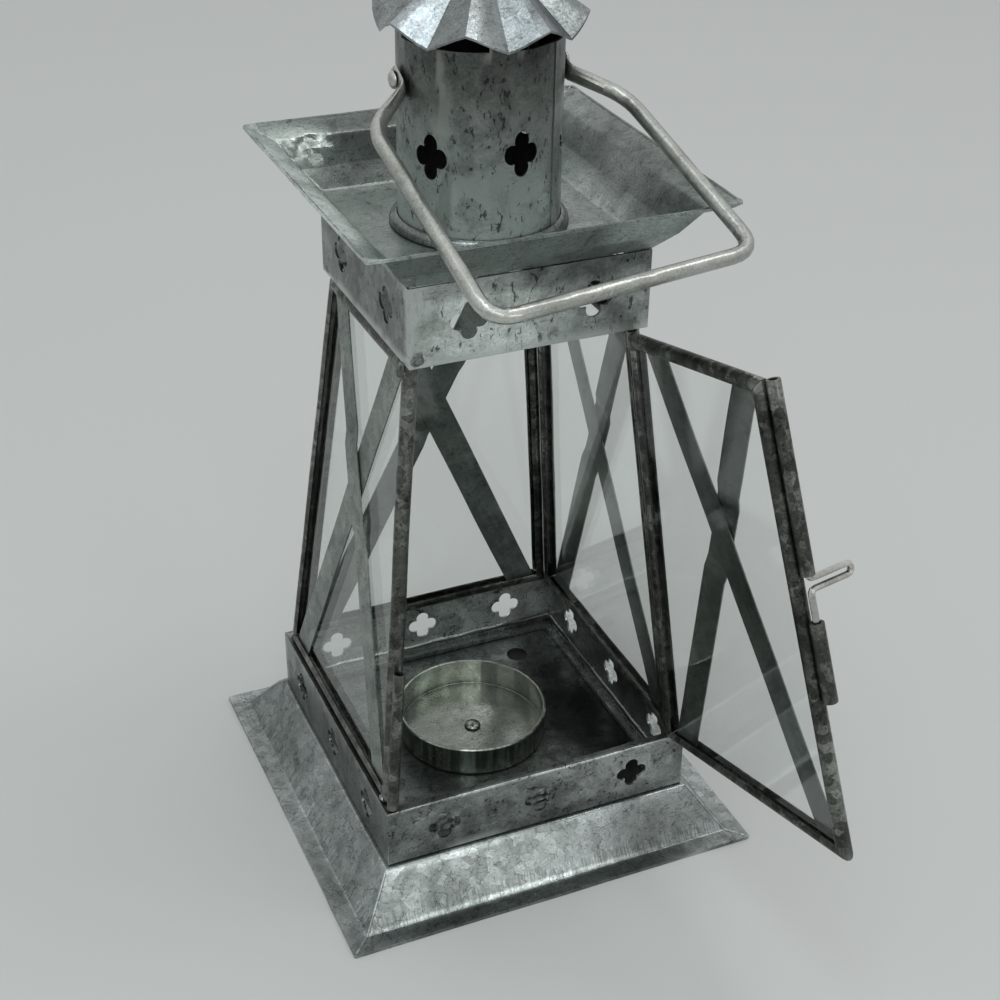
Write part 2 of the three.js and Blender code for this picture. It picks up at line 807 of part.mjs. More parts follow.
function rounded(points, radius, steps) {
  const path = [];
  for (let i = 1; i < points.length - 1; i++) {
    const back = points[i - 1].clone().sub(points[i]);
    const ahead = points[i + 1].clone().sub(points[i]);
    const reach = Math.min(radius, 0.35 * back.length(), 0.35 * ahead.length());
    const from = points[i].clone().addScaledVector(back.normalize(), reach);
    const to = points[i].clone().addScaledVector(ahead.normalize(), reach);
    const bend = new THREE.QuadraticBezierCurve(from, points[i], to);
    path.push(...bend.getPoints(steps));
  }
  return path;
}

function bailCorner(side) {
  const rack = bailRack * degree;
  const x = side * bailCornerOut;
  return new THREE.Vector2(
    x * Math.cos(rack) + bailCornerDrop * Math.sin(rack),
    bailCornerDrop * Math.cos(rack) - x * Math.sin(rack),
  );
}

// Half thickness and half width of the wire, which is hammered flat round its rivets
function bailSection(drop) {
  const flatEnd = eyeWidth / 2 + 0.6;
  if (drop < -0.9 * eyeWidth / 2) {
    return [eyeThickness / 2, eyeWidth / 4];
  }
  if (drop < flatEnd) {
    return [eyeThickness / 2, eyeWidth / 2];
  }
  const share = Math.min(1, (drop - flatEnd) / (2 * bailRadius));
  const mix = THREE.MathUtils.lerp;
  return [mix(eyeThickness / 2, bailRadius, share), mix(eyeWidth / 2, bailRadius, share)];
}

function bailGeometry() {
  const eyeEnd = eyeWidth / 2;
  const at = (x, drop) => new THREE.Vector2(x, drop);
  const points = [
    at(-eyeMiddle, 0), at(-eyeMiddle, 1.5 * eyeEnd),
    at(-bailShoulderOut, bailShoulderDrop), bailCorner(-1),
    bailCorner(1), at(bailShoulderOut, bailShoulderDrop),
    at(eyeMiddle, 1.5 * eyeEnd), at(eyeMiddle, 0),
  ];
  const eye = (side) => [-1, -0.75, 0].map((share) => at(side * eyeMiddle, share * eyeEnd));
  const path = [...eye(-1), ...rounded(points, bailBend, 6), ...eye(1).reverse()];
  const outline = [];
  for (let k = 0; k < wireSides; k++) {
    const a = (k * 2 * Math.PI) / wireSides;
    outline.push(new THREE.Vector2(Math.cos(a), Math.sin(a)));
  }
  const rings = path.map((p, i) => {
    const before = path[Math.max(i - 1, 0)];
    const after = path[Math.min(i + 1, path.length - 1)];
    const along = after.clone().sub(before).normalize();
    const [thick, wide] = bailSection(p.y);
    return outline.map((o) => {
      const x = p.x - along.y * thick * o.x;
      const drop = p.y + along.x * thick * o.x;
      return new THREE.Vector3(x, -drop, wide * o.y);
    });
  });
  const hole = rod(bailRivetShankRadius + seat, 2 * (eyeMiddle + cutOver), tubeSides);
  hole.translate(0, 0, -eyeMiddle - cutOver);
  hole.rotateY(Math.PI / 2);
  return cut(loft(rings, outline), [hole]);
}

function bailAssembly() {
  const group = new THREE.Group();
  group.rotation.x = bailRest;
  group.position.z = pivotLevel;
  group.add(piece("bail", bailGeometry(), "bail"));
  return group;
}

function bailRivet(name, side) {
  const grip = eyeThickness + sheet + 3 * seat;
  const geometry = rivetGeometry(
    bailRivetShankRadius, bailRivetHeadRadius, bailRivetHeadHeight,
    bailRivetTailRadius, bailRivetHeadHeight / 2, grip,
  );
  geometry.rotateY((side * Math.PI) / 2);
  geometry.translate(side * (eyeMiddle + eyeThickness / 2 + seat), 0, pivotLevel);
  return piece(name, geometry, "bail");
}

// The chimney stands a little left of the middle, with all that it carries
function chimneyGroup() {
  const group = new THREE.Group();
  group.position.x = chimneyRight;
  group.add(piece("chimney_collar", collarGeometry(), "sheet"));
  group.add(piece("chimney", chimneyGeometry(), "sheet"));
  group.add(piece("chimney_cap", capGeometry(), "sheet"));
  group.add(bailAssembly());
  group.add(bailRivet("bail_rivet_left", -1), bailRivet("bail_rivet_right", 1));
  return group;
}

function lantern() {
  const group = new THREE.Group();
  group.add(piece("base_plinth", plinthGeometry(), "sheet"));
  group.add(piece("floor_plate", floorGeometry(), "sheet"));
  const cup = cupGeometry();
  cup.translate(0, cupBack, floorTop + seat);
  group.add(piece("candle_cup", cup, "cup"));
  group.add(cupRivet());
  group.add(piece("lower_gallery", galleryGeometry(
    lowerWidth, lowerBottom, lowerHeight, true, lowerPiercing, lowerPitch, lowerPerSide,
  ), "sheet"));
  group.add(piece("upper_gallery", galleryGeometry(
    upperWidth, upperBottom, upperHeight, false, upperPiercing, upperPitch, upperPerSide,
  ), "sheet"));
  const backRoom = (frameTube + seat) / Math.SQRT2;
  const rightRoom = roomBeside(hingeFrontInset, hingeSideInset, knuckleRadius);
  const leftRoom = roomBeside(latchFrontInset, latchSideInset, sleeveRadius);
  group.add(fixedFrame("right", ["front", "back"], [rightRoom, backRoom], 1));
  group.add(fixedFrame("back", ["right", "left"], [backRoom, backRoom], 2));
  group.add(fixedFrame("left", ["back", "front"], [backRoom, leftRoom], 3));
  const hinge = hingeCorner();
  hinge.add(...hingeTubes(false), hingePin());
  const keeper = latchCorner();
  keeper.add(cornerTube("keeper_tube", keeperRadius, tubeBore, seat, keeperLength));
  group.add(hinge, keeper, doorAssembly());
  group.add(piece("top_tray", trayGeometry(), "sheet"), chimneyGroup());
  return group;
}

const group = new THREE.Group();
const body = lantern();
body.position.y = -originBack;
group.add(body);

export default group;
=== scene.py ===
import json
import math

import bmesh
import bpy
from mathutils import Matrix, Vector, noise


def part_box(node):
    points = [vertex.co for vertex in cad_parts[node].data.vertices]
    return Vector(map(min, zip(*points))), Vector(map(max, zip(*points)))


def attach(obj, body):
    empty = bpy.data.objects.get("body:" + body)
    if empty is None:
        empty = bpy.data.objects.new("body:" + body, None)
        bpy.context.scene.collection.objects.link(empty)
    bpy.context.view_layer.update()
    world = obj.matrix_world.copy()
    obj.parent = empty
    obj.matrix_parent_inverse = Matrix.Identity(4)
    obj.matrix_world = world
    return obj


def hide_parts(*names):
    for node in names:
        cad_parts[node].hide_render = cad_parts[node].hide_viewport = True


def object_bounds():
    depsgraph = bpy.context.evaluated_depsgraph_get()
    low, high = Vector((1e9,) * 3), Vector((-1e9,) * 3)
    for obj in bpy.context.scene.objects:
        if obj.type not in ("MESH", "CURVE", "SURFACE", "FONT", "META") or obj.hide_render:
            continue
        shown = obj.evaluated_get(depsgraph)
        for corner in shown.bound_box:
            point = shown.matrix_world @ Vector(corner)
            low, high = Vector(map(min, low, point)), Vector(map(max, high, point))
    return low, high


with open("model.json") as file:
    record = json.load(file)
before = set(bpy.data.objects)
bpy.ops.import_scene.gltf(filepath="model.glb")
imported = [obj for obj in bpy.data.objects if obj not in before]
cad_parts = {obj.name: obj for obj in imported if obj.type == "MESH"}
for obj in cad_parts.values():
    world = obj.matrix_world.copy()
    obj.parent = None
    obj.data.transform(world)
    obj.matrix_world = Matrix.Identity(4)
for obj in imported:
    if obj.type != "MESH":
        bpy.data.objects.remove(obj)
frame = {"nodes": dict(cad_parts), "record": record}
cad_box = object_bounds()

MM = 0.001

# Camera, at the photograph's viewing angle
CAMERA_PLACE = (-0.21562, -0.58042, 0.45972)
CAMERA_YAW = 24.01
CAMERA_PITCH = 31.32
CAMERA_ROLL = -0.94
CAMERA_LENS = 62.63
CAMERA_SENSOR = 36

# Places that the finishes need, from the frame
CHIMNEY_LOW, CHIMNEY_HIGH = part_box("chimney")
CUP_LOW, CUP_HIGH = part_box("candle_cup")
CUP_MIDDLE = (CUP_LOW + CUP_HIGH) / 2
CHIMNEY_MIDDLE = (CHIMNEY_LOW + CHIMNEY_HIGH) / 2
CHIMNEY_BORE = (CHIMNEY_HIGH.x - CHIMNEY_LOW.x) / 2 - 0.3 * MM

# The middle of the square forms along y, in millimetres
MIDDLE = -77

# Hand-made sheet: how far it strays from true. noise_vector draws by the clock unless it is seeded
STRAY_SEED = 7
STRAY_SIZE = 0.28 * MM
STRAY_LENGTH = 34 * MM
WELD_REACH = 0.002 * MM
RIM = 0.12 * MM
LONGEST = 5 * MM
FOLD_ANGLE = math.radians(32)
RIM_ANGLE = math.radians(48)
FOLD_OF = {"base_plinth": 0.6 * MM, "lower_gallery": 0.3 * MM, "upper_gallery": 0.3 * MM,
           "top_tray": 0.9 * MM, "candle_cup": 0.5 * MM}
SHARP_OF = {"chimney_cap": math.radians(13)}
# Pieces that pass close to each other when they move keep their true form
TRUE_FORMS = ("door_", "hinge_", "latch_", "bail", "keeper", "upper_gallery")

# The surround: its brightness at the horizon and overhead, and the light that it gives
HORIZON = 0.5
ZENITH = 0.9
WORLD_LIGHT = 0.62

# Lamps: place, aim, size, power and tint
LAMPS = {
    "key": ((0.33, -1.48, 0.59), (-0.02, -0.14, 0.02), 0.45, 1.05, (1, 1, 1)),
    "window": ((-0.3, -0.3, 1.6), (0, -0.08, 0.25), 0.5, 1.9, (0.86, 0.94, 1)),
    "side": ((0.65, -0.27, 1.44), (0, -0.08, 0.25), 0.4, 1.6, (1, 1, 1)),
    "fill": ((-0.6, -1.3, 1.3), (0, -0.08, 0.15), 1.0, 3.5, (1, 1, 1)),
}

# Mitred corners of the plinth and the tray, and the tray's hem, in millimetres: half width and height
PLINTH_CORNER = ((79.6, 1.2), (73.2, 1.5), (61.5, 18.4))
TRAY_CORNER = ((41.6, 237.2), (48.0, 243.6), (54.4, 253.2), (62.2, 256.4))
TRAY_HEM = (62.5, 256.25)

# The lap up the chimney's side: its turn, width, foot, rows, and each edge's height and share of the width
LAP_TURN = math.radians(-49)
LAP_WIDTH = 5.0
LAP_FOOT = 240.6
LAP_ROWS = 33
LAP_ROW = 1.9
LAP_SECTION = ((0.1, -0.5), (0.35, -0.5), (0.35, 0), (0.35, 0.5), (0.02, 0.56), (-0.1, 0.5), (-0.1, -0.5))

# The floor plate's turned-up edge, in millimetres: how far in and how high
FLANGE_SECTION = ((2.6, -0.1), (1.5, 0.5), (0.9, 1.5), (0.7, 3.4), (0.9, 4.2), (0.6, 5.4),
                  (0.1, 6.0), (-0.4, 6.0), (-0.4, 0.0))
FLANGE_STEPS = 80

# Drops of solder, in millimetres: place and half sizes
SOLDER_DROPS = (
    ((-58.2, -129.2, 44.2), (1.4, 1.8, 1.0)),
    ((55.8, -21.4, 44.4), (2.2, 1.8, 1.2)),
    ((-55.8, -21.4, 44.4), (2.2, 1.8, 1.2)),
    ((55.6, -131.4, 44.2), (1.6, 2.0, 1.0)),
    ((-39.4, -112.4, 206.8), (1.8, 1.5, 1.1)),
    ((38.6, -38.6, 206.8), (2.0, 1.8, 1.2)),
    ((-38.6, -38.6, 206.8), (2.0, 1.8, 1.2)),
)

# A strap's step over its crossing in the frame, and how much further out the rise starts
STRAP_STEP = 0.75 * MM
STRAP_FOOT = (2.5 * 11.5 / 2 + 5) * MM
STRAP_EASE = 42 * MM

# Knocks, in millimetres: middle, reach, direction, depth and grain
DENT_STEP = 1.3 * MM
DENTS = {
    "top_tray": (
        ((-43, -24, 250), (14, 9, 9), (0.1, 0.8, -0.6), 1.9, 5.0),
        ((-57, -22, 255), (10, 12, 6), (0.5, 0.3, -0.9), 1.1, 4.0),
        ((60, -17, 256), (8, 8, 5), (0.4, 0.3, -0.9), 1.1, 4.0),
        ((61, -137, 256), (7, 7, 5), (0.4, -0.3, -0.9), 1.0, 4.0),
        ((-61, -137, 256), (6, 6, 5), (-0.4, -0.3, -0.9), 0.8, 4.0),
    ),
    "upper_gallery": (
        ((10, -120, 233), (34, 6, 5), (0, 1, 0), 0.9, 9.0),
    ),
}


def camera():
    """The camera that took the photograph, as solved from the lantern's straight edges."""
    yaw, pitch, roll = (math.radians(a) for a in (CAMERA_YAW, CAMERA_PITCH, CAMERA_ROLL))
    ahead = Vector((
        math.sin(yaw) * math.cos(pitch),
        math.cos(yaw) * math.cos(pitch),
        -math.sin(pitch),
    ))
    level = Vector((math.cos(yaw), -math.sin(yaw), 0))
    down = ahead.cross(level)
    right = math.cos(roll) * level + math.sin(roll) * down
    below = -math.sin(roll) * level + math.cos(roll) * down
    data = bpy.data.cameras.new("camera")
    data.lens = CAMERA_LENS
    data.sensor_width = CAMERA_SENSOR
    data.sensor_fit = "HORIZONTAL"
    data.clip_start = 0.01
    data.clip_end = 20
    made = bpy.data.objects.new("camera", data)
    made.matrix_world = Matrix((right, -below, -ahead)).transposed().to_4x4()
    made.location = CAMERA_PLACE
    bpy.context.scene.collection.objects.link(made)
    bpy.context.scene.camera = made


# Materials


class Paint:
    """A node material that is put together a node at a time."""

    def __init__(self, name):
        self.material = bpy.data.materials.new(name)
        self.material.use_nodes = True
        self.tree = self.material.node_tree
        self.tree.nodes.clear()
        self.output = self.add("ShaderNodeOutputMaterial")
        self.place = self.add("ShaderNodeTexCoord").outputs["Object"]

    def add(self, kind, **settings):
        node = self.tree.nodes.new(kind)
        for key, value in settings.items():
            setattr(node, key, value)
        return node

    def feed(self, socket, value):
        if isinstance(value, bpy.types.NodeSocket):
            self.tree.links.new(value, socket)
        else:
            socket.default_value = value

    def moved(self, scale=(1, 1, 1), turn=(0, 0, 0)):
        """Object coordinates, scaled and turned."""
        node = self.add("ShaderNodeMapping")
        self.feed(node.inputs["Vector"], self.place)
        node.inputs["Scale"].default_value = scale
        node.inputs["Rotation"].default_value = turn
        return node.outputs["Vector"]

    def noise(self, per_metre, detail=4, rough=0.55, warp=0, vector=None):
        node = self.add("ShaderNodeTexNoise")
        self.feed(node.inputs["Vector"], vector or self.place)
        node.inputs["Scale"].default_value = per_metre
        node.inputs["Detail"].default_value = detail
        node.inputs["Roughness"].default_value = rough
        node.inputs["Distortion"].default_value = warp
        return node.outputs["Fac"]

    def ramp(self, factor, *stops):
        """A value or colour that follows stops of (position, value or colour)."""
        node = self.add("ShaderNodeValToRGB")
        elements = node.color_ramp.elements
        while len(elements) < len(stops):
            elements.new(1)
        for element, (position, tone) in zip(elements, stops):
            element.position = position
            element.color = (*tone, 1) if isinstance(tone, tuple) else (tone, tone, tone, 1)
        self.feed(node.inputs["Fac"], factor)
        return node.outputs["Color"]

    def mix(self, factor, a, b, kind="MIX"):
        node = self.add("ShaderNodeMix", data_type="RGBA", blend_type=kind)
        self.feed(node.inputs["Factor"], factor)
        for socket, value in ((node.inputs["A"], a), (node.inputs["B"], b)):
            socket = [s for s in node.inputs if s.name == socket.name and s.type == "RGBA"][0]
            self.feed(socket, (*value, 1) if isinstance(value, tuple) else value)
        return [s for s in node.outputs if s.type == "RGBA"][0]

    def shaded(self, colour, factor):
        return self.mix(1.0, colour, factor, "MULTIPLY")

    def geometry(self, output):
        return self.add("ShaderNodeNewGeometry").outputs[output]

    def mapped(self, value, source, target, interpolation="LINEAR"):
        """A value moved from one range to another."""
        node = self.add("ShaderNodeMapRange", interpolation_type=interpolation)
        self.feed(node.inputs["Value"], value)
        for name, number in zip(("From Min", "From Max", "To Min", "To Max"), (*source, *target)):
            node.inputs[name].default_value = number
        return node.outputs[0]

    def measured(self, kind, a, b=(0, 0, 0)):
        """The number that a pair of vectors gives, such as LENGTH or DOT_PRODUCT."""
        node = self.add("ShaderNodeVectorMath", operation=kind)
        self.feed(node.inputs[0], a)
        self.feed(node.inputs[1], b)
        return node.outputs["Value"]

    def math(self, kind, a, b=0.0, c=0.0):
        node = self.add("ShaderNodeMath", operation=kind)
        for socket, value in zip(node.inputs, (a, b, c)):
            self.feed(socket, value)
        return node.outputs[0]

    def split(self, vector):
        node = self.add("ShaderNodeSeparateXYZ")
        self.feed(node.inputs[0], vector)
        return list(node.outputs)

    def vector_math(self, kind, a, b=(0, 0, 0), scale=1.0):
        node = self.add("ShaderNodeVectorMath", operation=kind)
        self.feed(node.inputs[0], a)
        if kind == "SCALE":
            node.inputs["Scale"].default_value = scale
        else:
            self.feed(node.inputs[1], b)
        return node.outputs[0]

    def bump(self, height, depth, normal=None):
        node = self.add("ShaderNodeBump")
        self.feed(node.inputs["Height"], height)
        node.inputs["Distance"].default_value = depth
        if normal:
            self.feed(node.inputs["Normal"], normal)
        return node.outputs["Normal"]

    def principled(self, **sockets):
        shader = self.add("ShaderNodeBsdfPrincipled")
        for name, value in sockets.items():
            self.feed(shader.inputs[name.replace("_", " ")], value)
        self.feed(self.output.inputs["Surface"], shader.outputs[0])
        return self.material


def edgewise(paint):
    """Coordinates that follow each side of the square forms: along the side, then up."""
    normal = paint.split(paint.geometry("Normal"))
    place = paint.split(paint.place)
    facing = [paint.math("ABSOLUTE", n) for n in normal[:2]]
    sideways = paint.math("GREATER_THAN", facing[0], facing[1])
    along = paint.math("MULTIPLY_ADD", sideways, paint.math("SUBTRACT", place[1], place[0]), place[0])
    joined = paint.add("ShaderNodeCombineXYZ")
    paint.feed(joined.inputs["X"], along)
    paint.feed(joined.inputs["Y"], paint.math("MULTIPLY", place[2], 0.08))
    return joined.outputs[0]


def crystals(paint, size, reach):
    """Zinc crystals: a tone for each one, its outline, and a surface that tips from one to the next."""
    wander = paint.add("ShaderNodeTexNoise")
    paint.feed(wander.inputs["Vector"], paint.place)
    wander.inputs["Scale"].default_value = 1.3 / size
    wander.inputs["Detail"].default_value = 2
    wander.inputs["Roughness"].default_value = 0.7
    shifted = paint.vector_math("MULTIPLY_ADD", wander.outputs["Color"], (0.3 * size,) * 3)
    paint.feed(shifted.node.inputs[2], paint.place)
    cells = paint.add("ShaderNodeTexVoronoi", feature="F1")
    rims = paint.add("ShaderNodeTexVoronoi", feature="DISTANCE_TO_EDGE")
    for texture in (cells, rims):
        paint.feed(texture.inputs["Vector"], shifted)
        texture.inputs["Scale"].default_value = 1 / size
        texture.inputs["Randomness"].default_value = 1
    tone = paint.split(cells.outputs["Color"])[0]
    tipped = paint.vector_math("SUBTRACT", cells.outputs["Color"], (0.5, 0.5, 0.5))
    tipped = paint.vector_math("SCALE", tipped, scale=reach)
    tipped = paint.vector_math("NORMALIZE", paint.vector_math("ADD", paint.geometry("Normal"), tipped))
    return tone, rims.outputs["Distance"], tipped


def scratches(paint, turn, length, width, cover):
    """Short straight marks that all run one way: 1 on a mark, 0 beside it."""
    vector = paint.moved(scale=(1 / length, 1 / width, 1 / width), turn=turn)
    marks = paint.noise(1, detail=1.5, rough=0.5, vector=vector)
    return paint.ramp(marks, (cover, 0.0), (cover + 0.03, 1.0))


def pressed(paint, low, high):
    """Fine lines that the folding press left across a fold, between two heights."""
    drawn = paint.noise(1500, detail=2, rough=0.6, vector=edgewise(paint))
    reach = paint.noise(260, detail=2, vector=edgewise(paint))
    level = paint.split(paint.place)[2]
    level = paint.math("MULTIPLY_ADD", reach, -0.6 * (high - low), level)
    fade = (low + 0.35 * (high - low), low + 0.7 * (high - low))
    inside = paint.mapped(level, fade, (1, 0), "SMOOTHSTEP")
    above = paint.math("GREATER_THAN", paint.split(paint.place)[2], low)
    return drawn, paint.math("MULTIPLY", inside, above)


def within(paint, x, y, radius):
    """1 nearer to an upright axis than the radius, 0 outside it."""
    offset = paint.vector_math("SUBTRACT", paint.place, (x, y, 0.0))
    flat = paint.vector_math("MULTIPLY", offset, (1.0, 1.0, 0.0))
    return paint.math("LESS_THAN", paint.measured("LENGTH", flat), radius)


def outer_wall(paint, x, y):
    """1 on a wall that faces away from an upright axis, 0 on its inside and on its floor."""
    offset = paint.vector_math("SUBTRACT", paint.place, (x, y, 0.0))
    flat = paint.vector_math("MULTIPLY", paint.vector_math("NORMALIZE", offset), (1.0, 1.0, 0.0))
    outward = paint.vector_math("NORMALIZE", flat)
    return paint.math("GREATER_THAN", paint.measured("DOT_PRODUCT", outward, paint.geometry("Normal")), 0.4)


def light_and_tone_patches(paint, colour, light_and_tone_zones):
    """Lighter or darker areas with ragged edges, some painted light and shade and some the metal's own
    tone: the middle and reach in millimetres, and a factor.
    """
    ragged = paint.noise(70, detail=6, rough=0.65, warp=0.6)
    for middle, reach, factor in light_and_tone_zones:
        offset = paint.vector_math("SUBTRACT", paint.place, tuple(v * MM for v in middle))
        offset = paint.vector_math("DIVIDE", offset, tuple(v * MM for v in reach))
        away = paint.math("MULTIPLY_ADD", ragged, 0.9, paint.measured("LENGTH", offset))
        share = paint.ramp(paint.math("MULTIPLY", away, 0.5), (0.5, 1.0), (0.78, 0.0))
        colour = paint.mix(share, colour, paint.shaded(colour, (factor, factor, factor)))
    return colour


def reflected_foot(paint, colour, lowest, highest, reflection_tone):
    """Lets a lighter tone, a painted reflection, take over towards the foot of an upright piece."""
    level = paint.split(paint.place)[2]
    return paint.mix(paint.mapped(level, (lowest, highest), (0.85, 0), "SMOOTHSTEP"), colour, reflection_tone)


def streaked(paint, colour, x, y, tone):
    """Upright streaks down the outside of a round wall."""
    streak = paint.noise(1, detail=3, vector=paint.moved(scale=(420, 420, 30)))
    streak = paint.ramp(streak, (0.42, tuple(0.4 * v for v in tone)), (0.58, tone))
    return paint.mix(outer_wall(paint, x, y), colour, streak)


def shade_upward_faces(paint, colour, cover):
    """Painted shade on what faces up."""
    upward = paint.split(paint.geometry("Normal"))[2]
    return paint.shaded(colour, paint.ramp(upward, (0.8, 1.0), (0.95, 1 - cover)))


def outlined(paint, colour, rim, depth):
    """Dark lines along some of the crystals' outlines."""
    gap = paint.ramp(paint.noise(130, detail=3, warp=0.8), (0.5, 1.0), (0.55, 0.0))
    return paint.shaded(colour, paint.ramp(paint.math("ADD", rim, gap), (0.012, 1 - depth), (0.05, 1.0)))


def scratched(paint, colour, depth):
    """Short scratches in three directions, thick in some places and thin in others."""
    busy = paint.ramp(paint.noise(38, detail=4), (0.44, 0.15), (0.58, 1.0))
    for turn, cover in (((0.3, 0.5, 0.7), 0.65), ((-0.5, 0.9, -0.6), 0.66), ((1.1, -0.4, 0.2), 0.67)):
        mark = paint.math("MULTIPLY", scratches(paint, turn, 3.0 * MM, 0.8 * MM, cover), busy)
        colour = paint.shaded(colour, paint.math("MULTIPLY_ADD", mark, -depth, 1.0))
    return colour


def pitted(paint, colour, stain, depth, upright):
    """Dark flecks, drawn out upwards where upright is under 1."""
    pits = paint.noise(520, detail=4, rough=0.65, warp=upright, vector=paint.moved((1, 1, upright)))
    pits = paint.math("MULTIPLY_ADD", stain, -0.3, pits)
    return paint.shaded(colour, paint.ramp(pits, (0.445, 1.0), (0.475, 1 - depth)))


def worn_metal(name, tones, crystal=4.2 * MM, patch=0.1, tip=0.03, cracks=0.45, flecks=0.5, grime=0.3,
               marks=0.35, rough=(0.26, 0.42), metallic=0.8, relief=0.02 * MM, fold=None,
               wave=0.4 * MM, foot=None, bore=None, skirt=None, upright=1.0, upward_shade=0.0, light_and_tone_zones=()):
    """Aged zinc: faint crystals, cloudy stain, dark flecks and scratches, with painted shade in crevices
    and painted light, shade and reflection where asked for. Tones run from dark to light.
    """
    paint = Paint(name)
    dark, middle, light = tones
    cell, rim, tipped = crystals(paint, crystal, tip)
    cloud = paint.noise(20, detail=7, rough=0.62, warp=0.4)
    grit = paint.noise(1100, detail=3, rough=0.7)
    tone = paint.math("MULTIPLY_ADD", cell, patch, paint.math("MULTIPLY", cloud, 0.62))
    tone = paint.math("MULTIPLY_ADD", grit, 0.38 - patch, tone)
    colour = paint.ramp(tone, (0.36, dark), (0.5, middle), (0.64, light))
    # Painted reflection: a lighter tone towards the foot
    if foot:
        colour = reflected_foot(paint, colour, *foot)
    # Painted shade: near black inside the bore
    if bore:
        colour = paint.mix(within(paint, *bore), colour, BORE_SHADE)
    if skirt:
        colour = streaked(paint, colour, *skirt)
    # Painted light and shade, and the metal's own lighter and darker areas
    if light_and_tone_zones:
        colour = light_and_tone_patches(paint, colour, light_and_tone_zones)
    # Painted shade on faces that look up
    if upward_shade:
        colour = shade_upward_faces(paint, colour, upward_shade)
    stain = paint.noise(75, detail=8, rough=0.7, warp=0.7)
    colour = paint.shaded(colour, paint.ramp(stain, (0.36, 1 - grime), (0.52, 1.0)))
    colour = outlined(paint, colour, rim, cracks)
    colour = scratched(paint, colour, marks)
    colour = pitted(paint, colour, stain, flecks, upright)
    bright = tuple(min(1, 1.3 * v) for v in light)
    worn = paint.ramp(paint.geometry("Pointiness"), (0.53, 0.0), (0.62, 0.7))
    colour = paint.mix(worn, colour, bright)
    normal = paint.bump(cloud, wave, tipped)
    if fold:
        drawn, zone = pressed(paint, *fold)
        line_tone = paint.ramp(drawn, (0.36, 0.74), (0.6, 1.2))
        colour = paint.mix(zone, colour, paint.shaded(colour, line_tone))
        normal = paint.bump(paint.math("MULTIPLY", drawn, zone), 0.08 * MM, normal)
    # Painted shade: darker in crevices, corners and between parts, from ambient occlusion
    crevice_shade = paint.add("ShaderNodeAmbientOcclusion", samples=4)
    crevice_shade.inputs["Distance"].default_value = 6 * MM
    colour = paint.shaded(colour, paint.ramp(crevice_shade.outputs["AO"], (0.15, 0.4), (0.75, 1.0)))
    roughness = paint.mapped(tone, (0.36, 0.64), (rough[1], rough[0]))
    normal = paint.bump(grit, relief, normal)
    return paint.principled(
        Base_Color=colour, Metallic=metallic, Roughness=roughness, Normal=normal)


def glass_material():
    """Thin window glass: clear, with a grazing gloss and a faint smear."""
    paint = Paint("glass")
    smear = paint.noise(22, detail=5, rough=0.6, warp=0.6)
    clear = paint.add("ShaderNodeBsdfTransparent")
    clear.inputs["Color"].default_value = (0.975, 0.985, 0.98, 1)
    gloss = paint.add("ShaderNodeBsdfGlossy")
    gloss.inputs["Color"].default_value = (0.92, 0.94, 0.93, 1)
    paint.feed(gloss.inputs["Roughness"], paint.math("MULTIPLY", smear, 0.1))
    graze = paint.add("ShaderNodeLayerWeight").outputs["Facing"]
    mirror = paint.math("MULTIPLY_ADD", paint.math("POWER", graze, 4.0), 0.7, 0.04)
    share = paint.add("ShaderNodeMixShader")
    paint.feed(share.inputs[0], mirror)
    paint.feed(share.inputs[1], clear.outputs[0])
    paint.feed(share.inputs[2], gloss.outputs[0])
    paint.feed(paint.output.inputs["Surface"], share.outputs[0])
    return paint.material


# Near black, painted shade inside the chimney's bore
BORE_SHADE = (0.012, 0.013, 0.012)
SHEET_TONES = ((0.14, 0.16, 0.15), (0.26, 0.288, 0.272), (0.42, 0.45, 0.437))
PLINTH_TONES = ((0.18, 0.204, 0.197), (0.3, 0.333, 0.323), (0.47, 0.515, 0.51))
CAP_TONES = ((0.127, 0.141, 0.139), (0.238, 0.259, 0.26), (0.396, 0.428, 0.436))
TRAY_TONES = ((0.19, 0.222, 0.207), (0.33, 0.375, 0.352), (0.5, 0.545, 0.52))
DULL_TONES = ((0.0515, 0.0585, 0.0527), (0.109, 0.122, 0.112), (0.193, 0.21, 0.195))
PLATE_TONES = ((0.06, 0.069, 0.064), (0.14, 0.157, 0.148), (0.27, 0.295, 0.283))
DARK_TONES = ((0.02, 0.023, 0.019), (0.07, 0.077, 0.067), (0.3, 0.315, 0.283))
# The frame metal made lighter for the left panel's frame: painted light
LIT_FRAME_TONES = ((0.04, 0.044, 0.0376), (0.104, 0.112, 0.0984), (0.272, 0.286, 0.258))
STRAP_TONES = ((0.125, 0.15, 0.133), (0.2, 0.233, 0.209), (0.31, 0.345, 0.315))
# The strap metal made lighter for the back straps: painted light
LIT_STRAP_TONES = ((0.22, 0.262, 0.235), (0.36, 0.42, 0.38), (0.56, 0.62, 0.575))
CUP_TONES = ((0.2, 0.222, 0.194), (0.31, 0.338, 0.3), (0.46, 0.49, 0.445))
BAIL_TONES = ((0.24, 0.252, 0.232), (0.42, 0.438, 0.405), (0.58, 0.6, 0.562))
WIRE_TONES = ((0.24, 0.24, 0.23), (0.43, 0.43, 0.41), (0.62, 0.62, 0.6))
SOLDER_TONES = ((0.13, 0.147, 0.14), (0.26, 0.285, 0.272), (0.52, 0.555, 0.54))

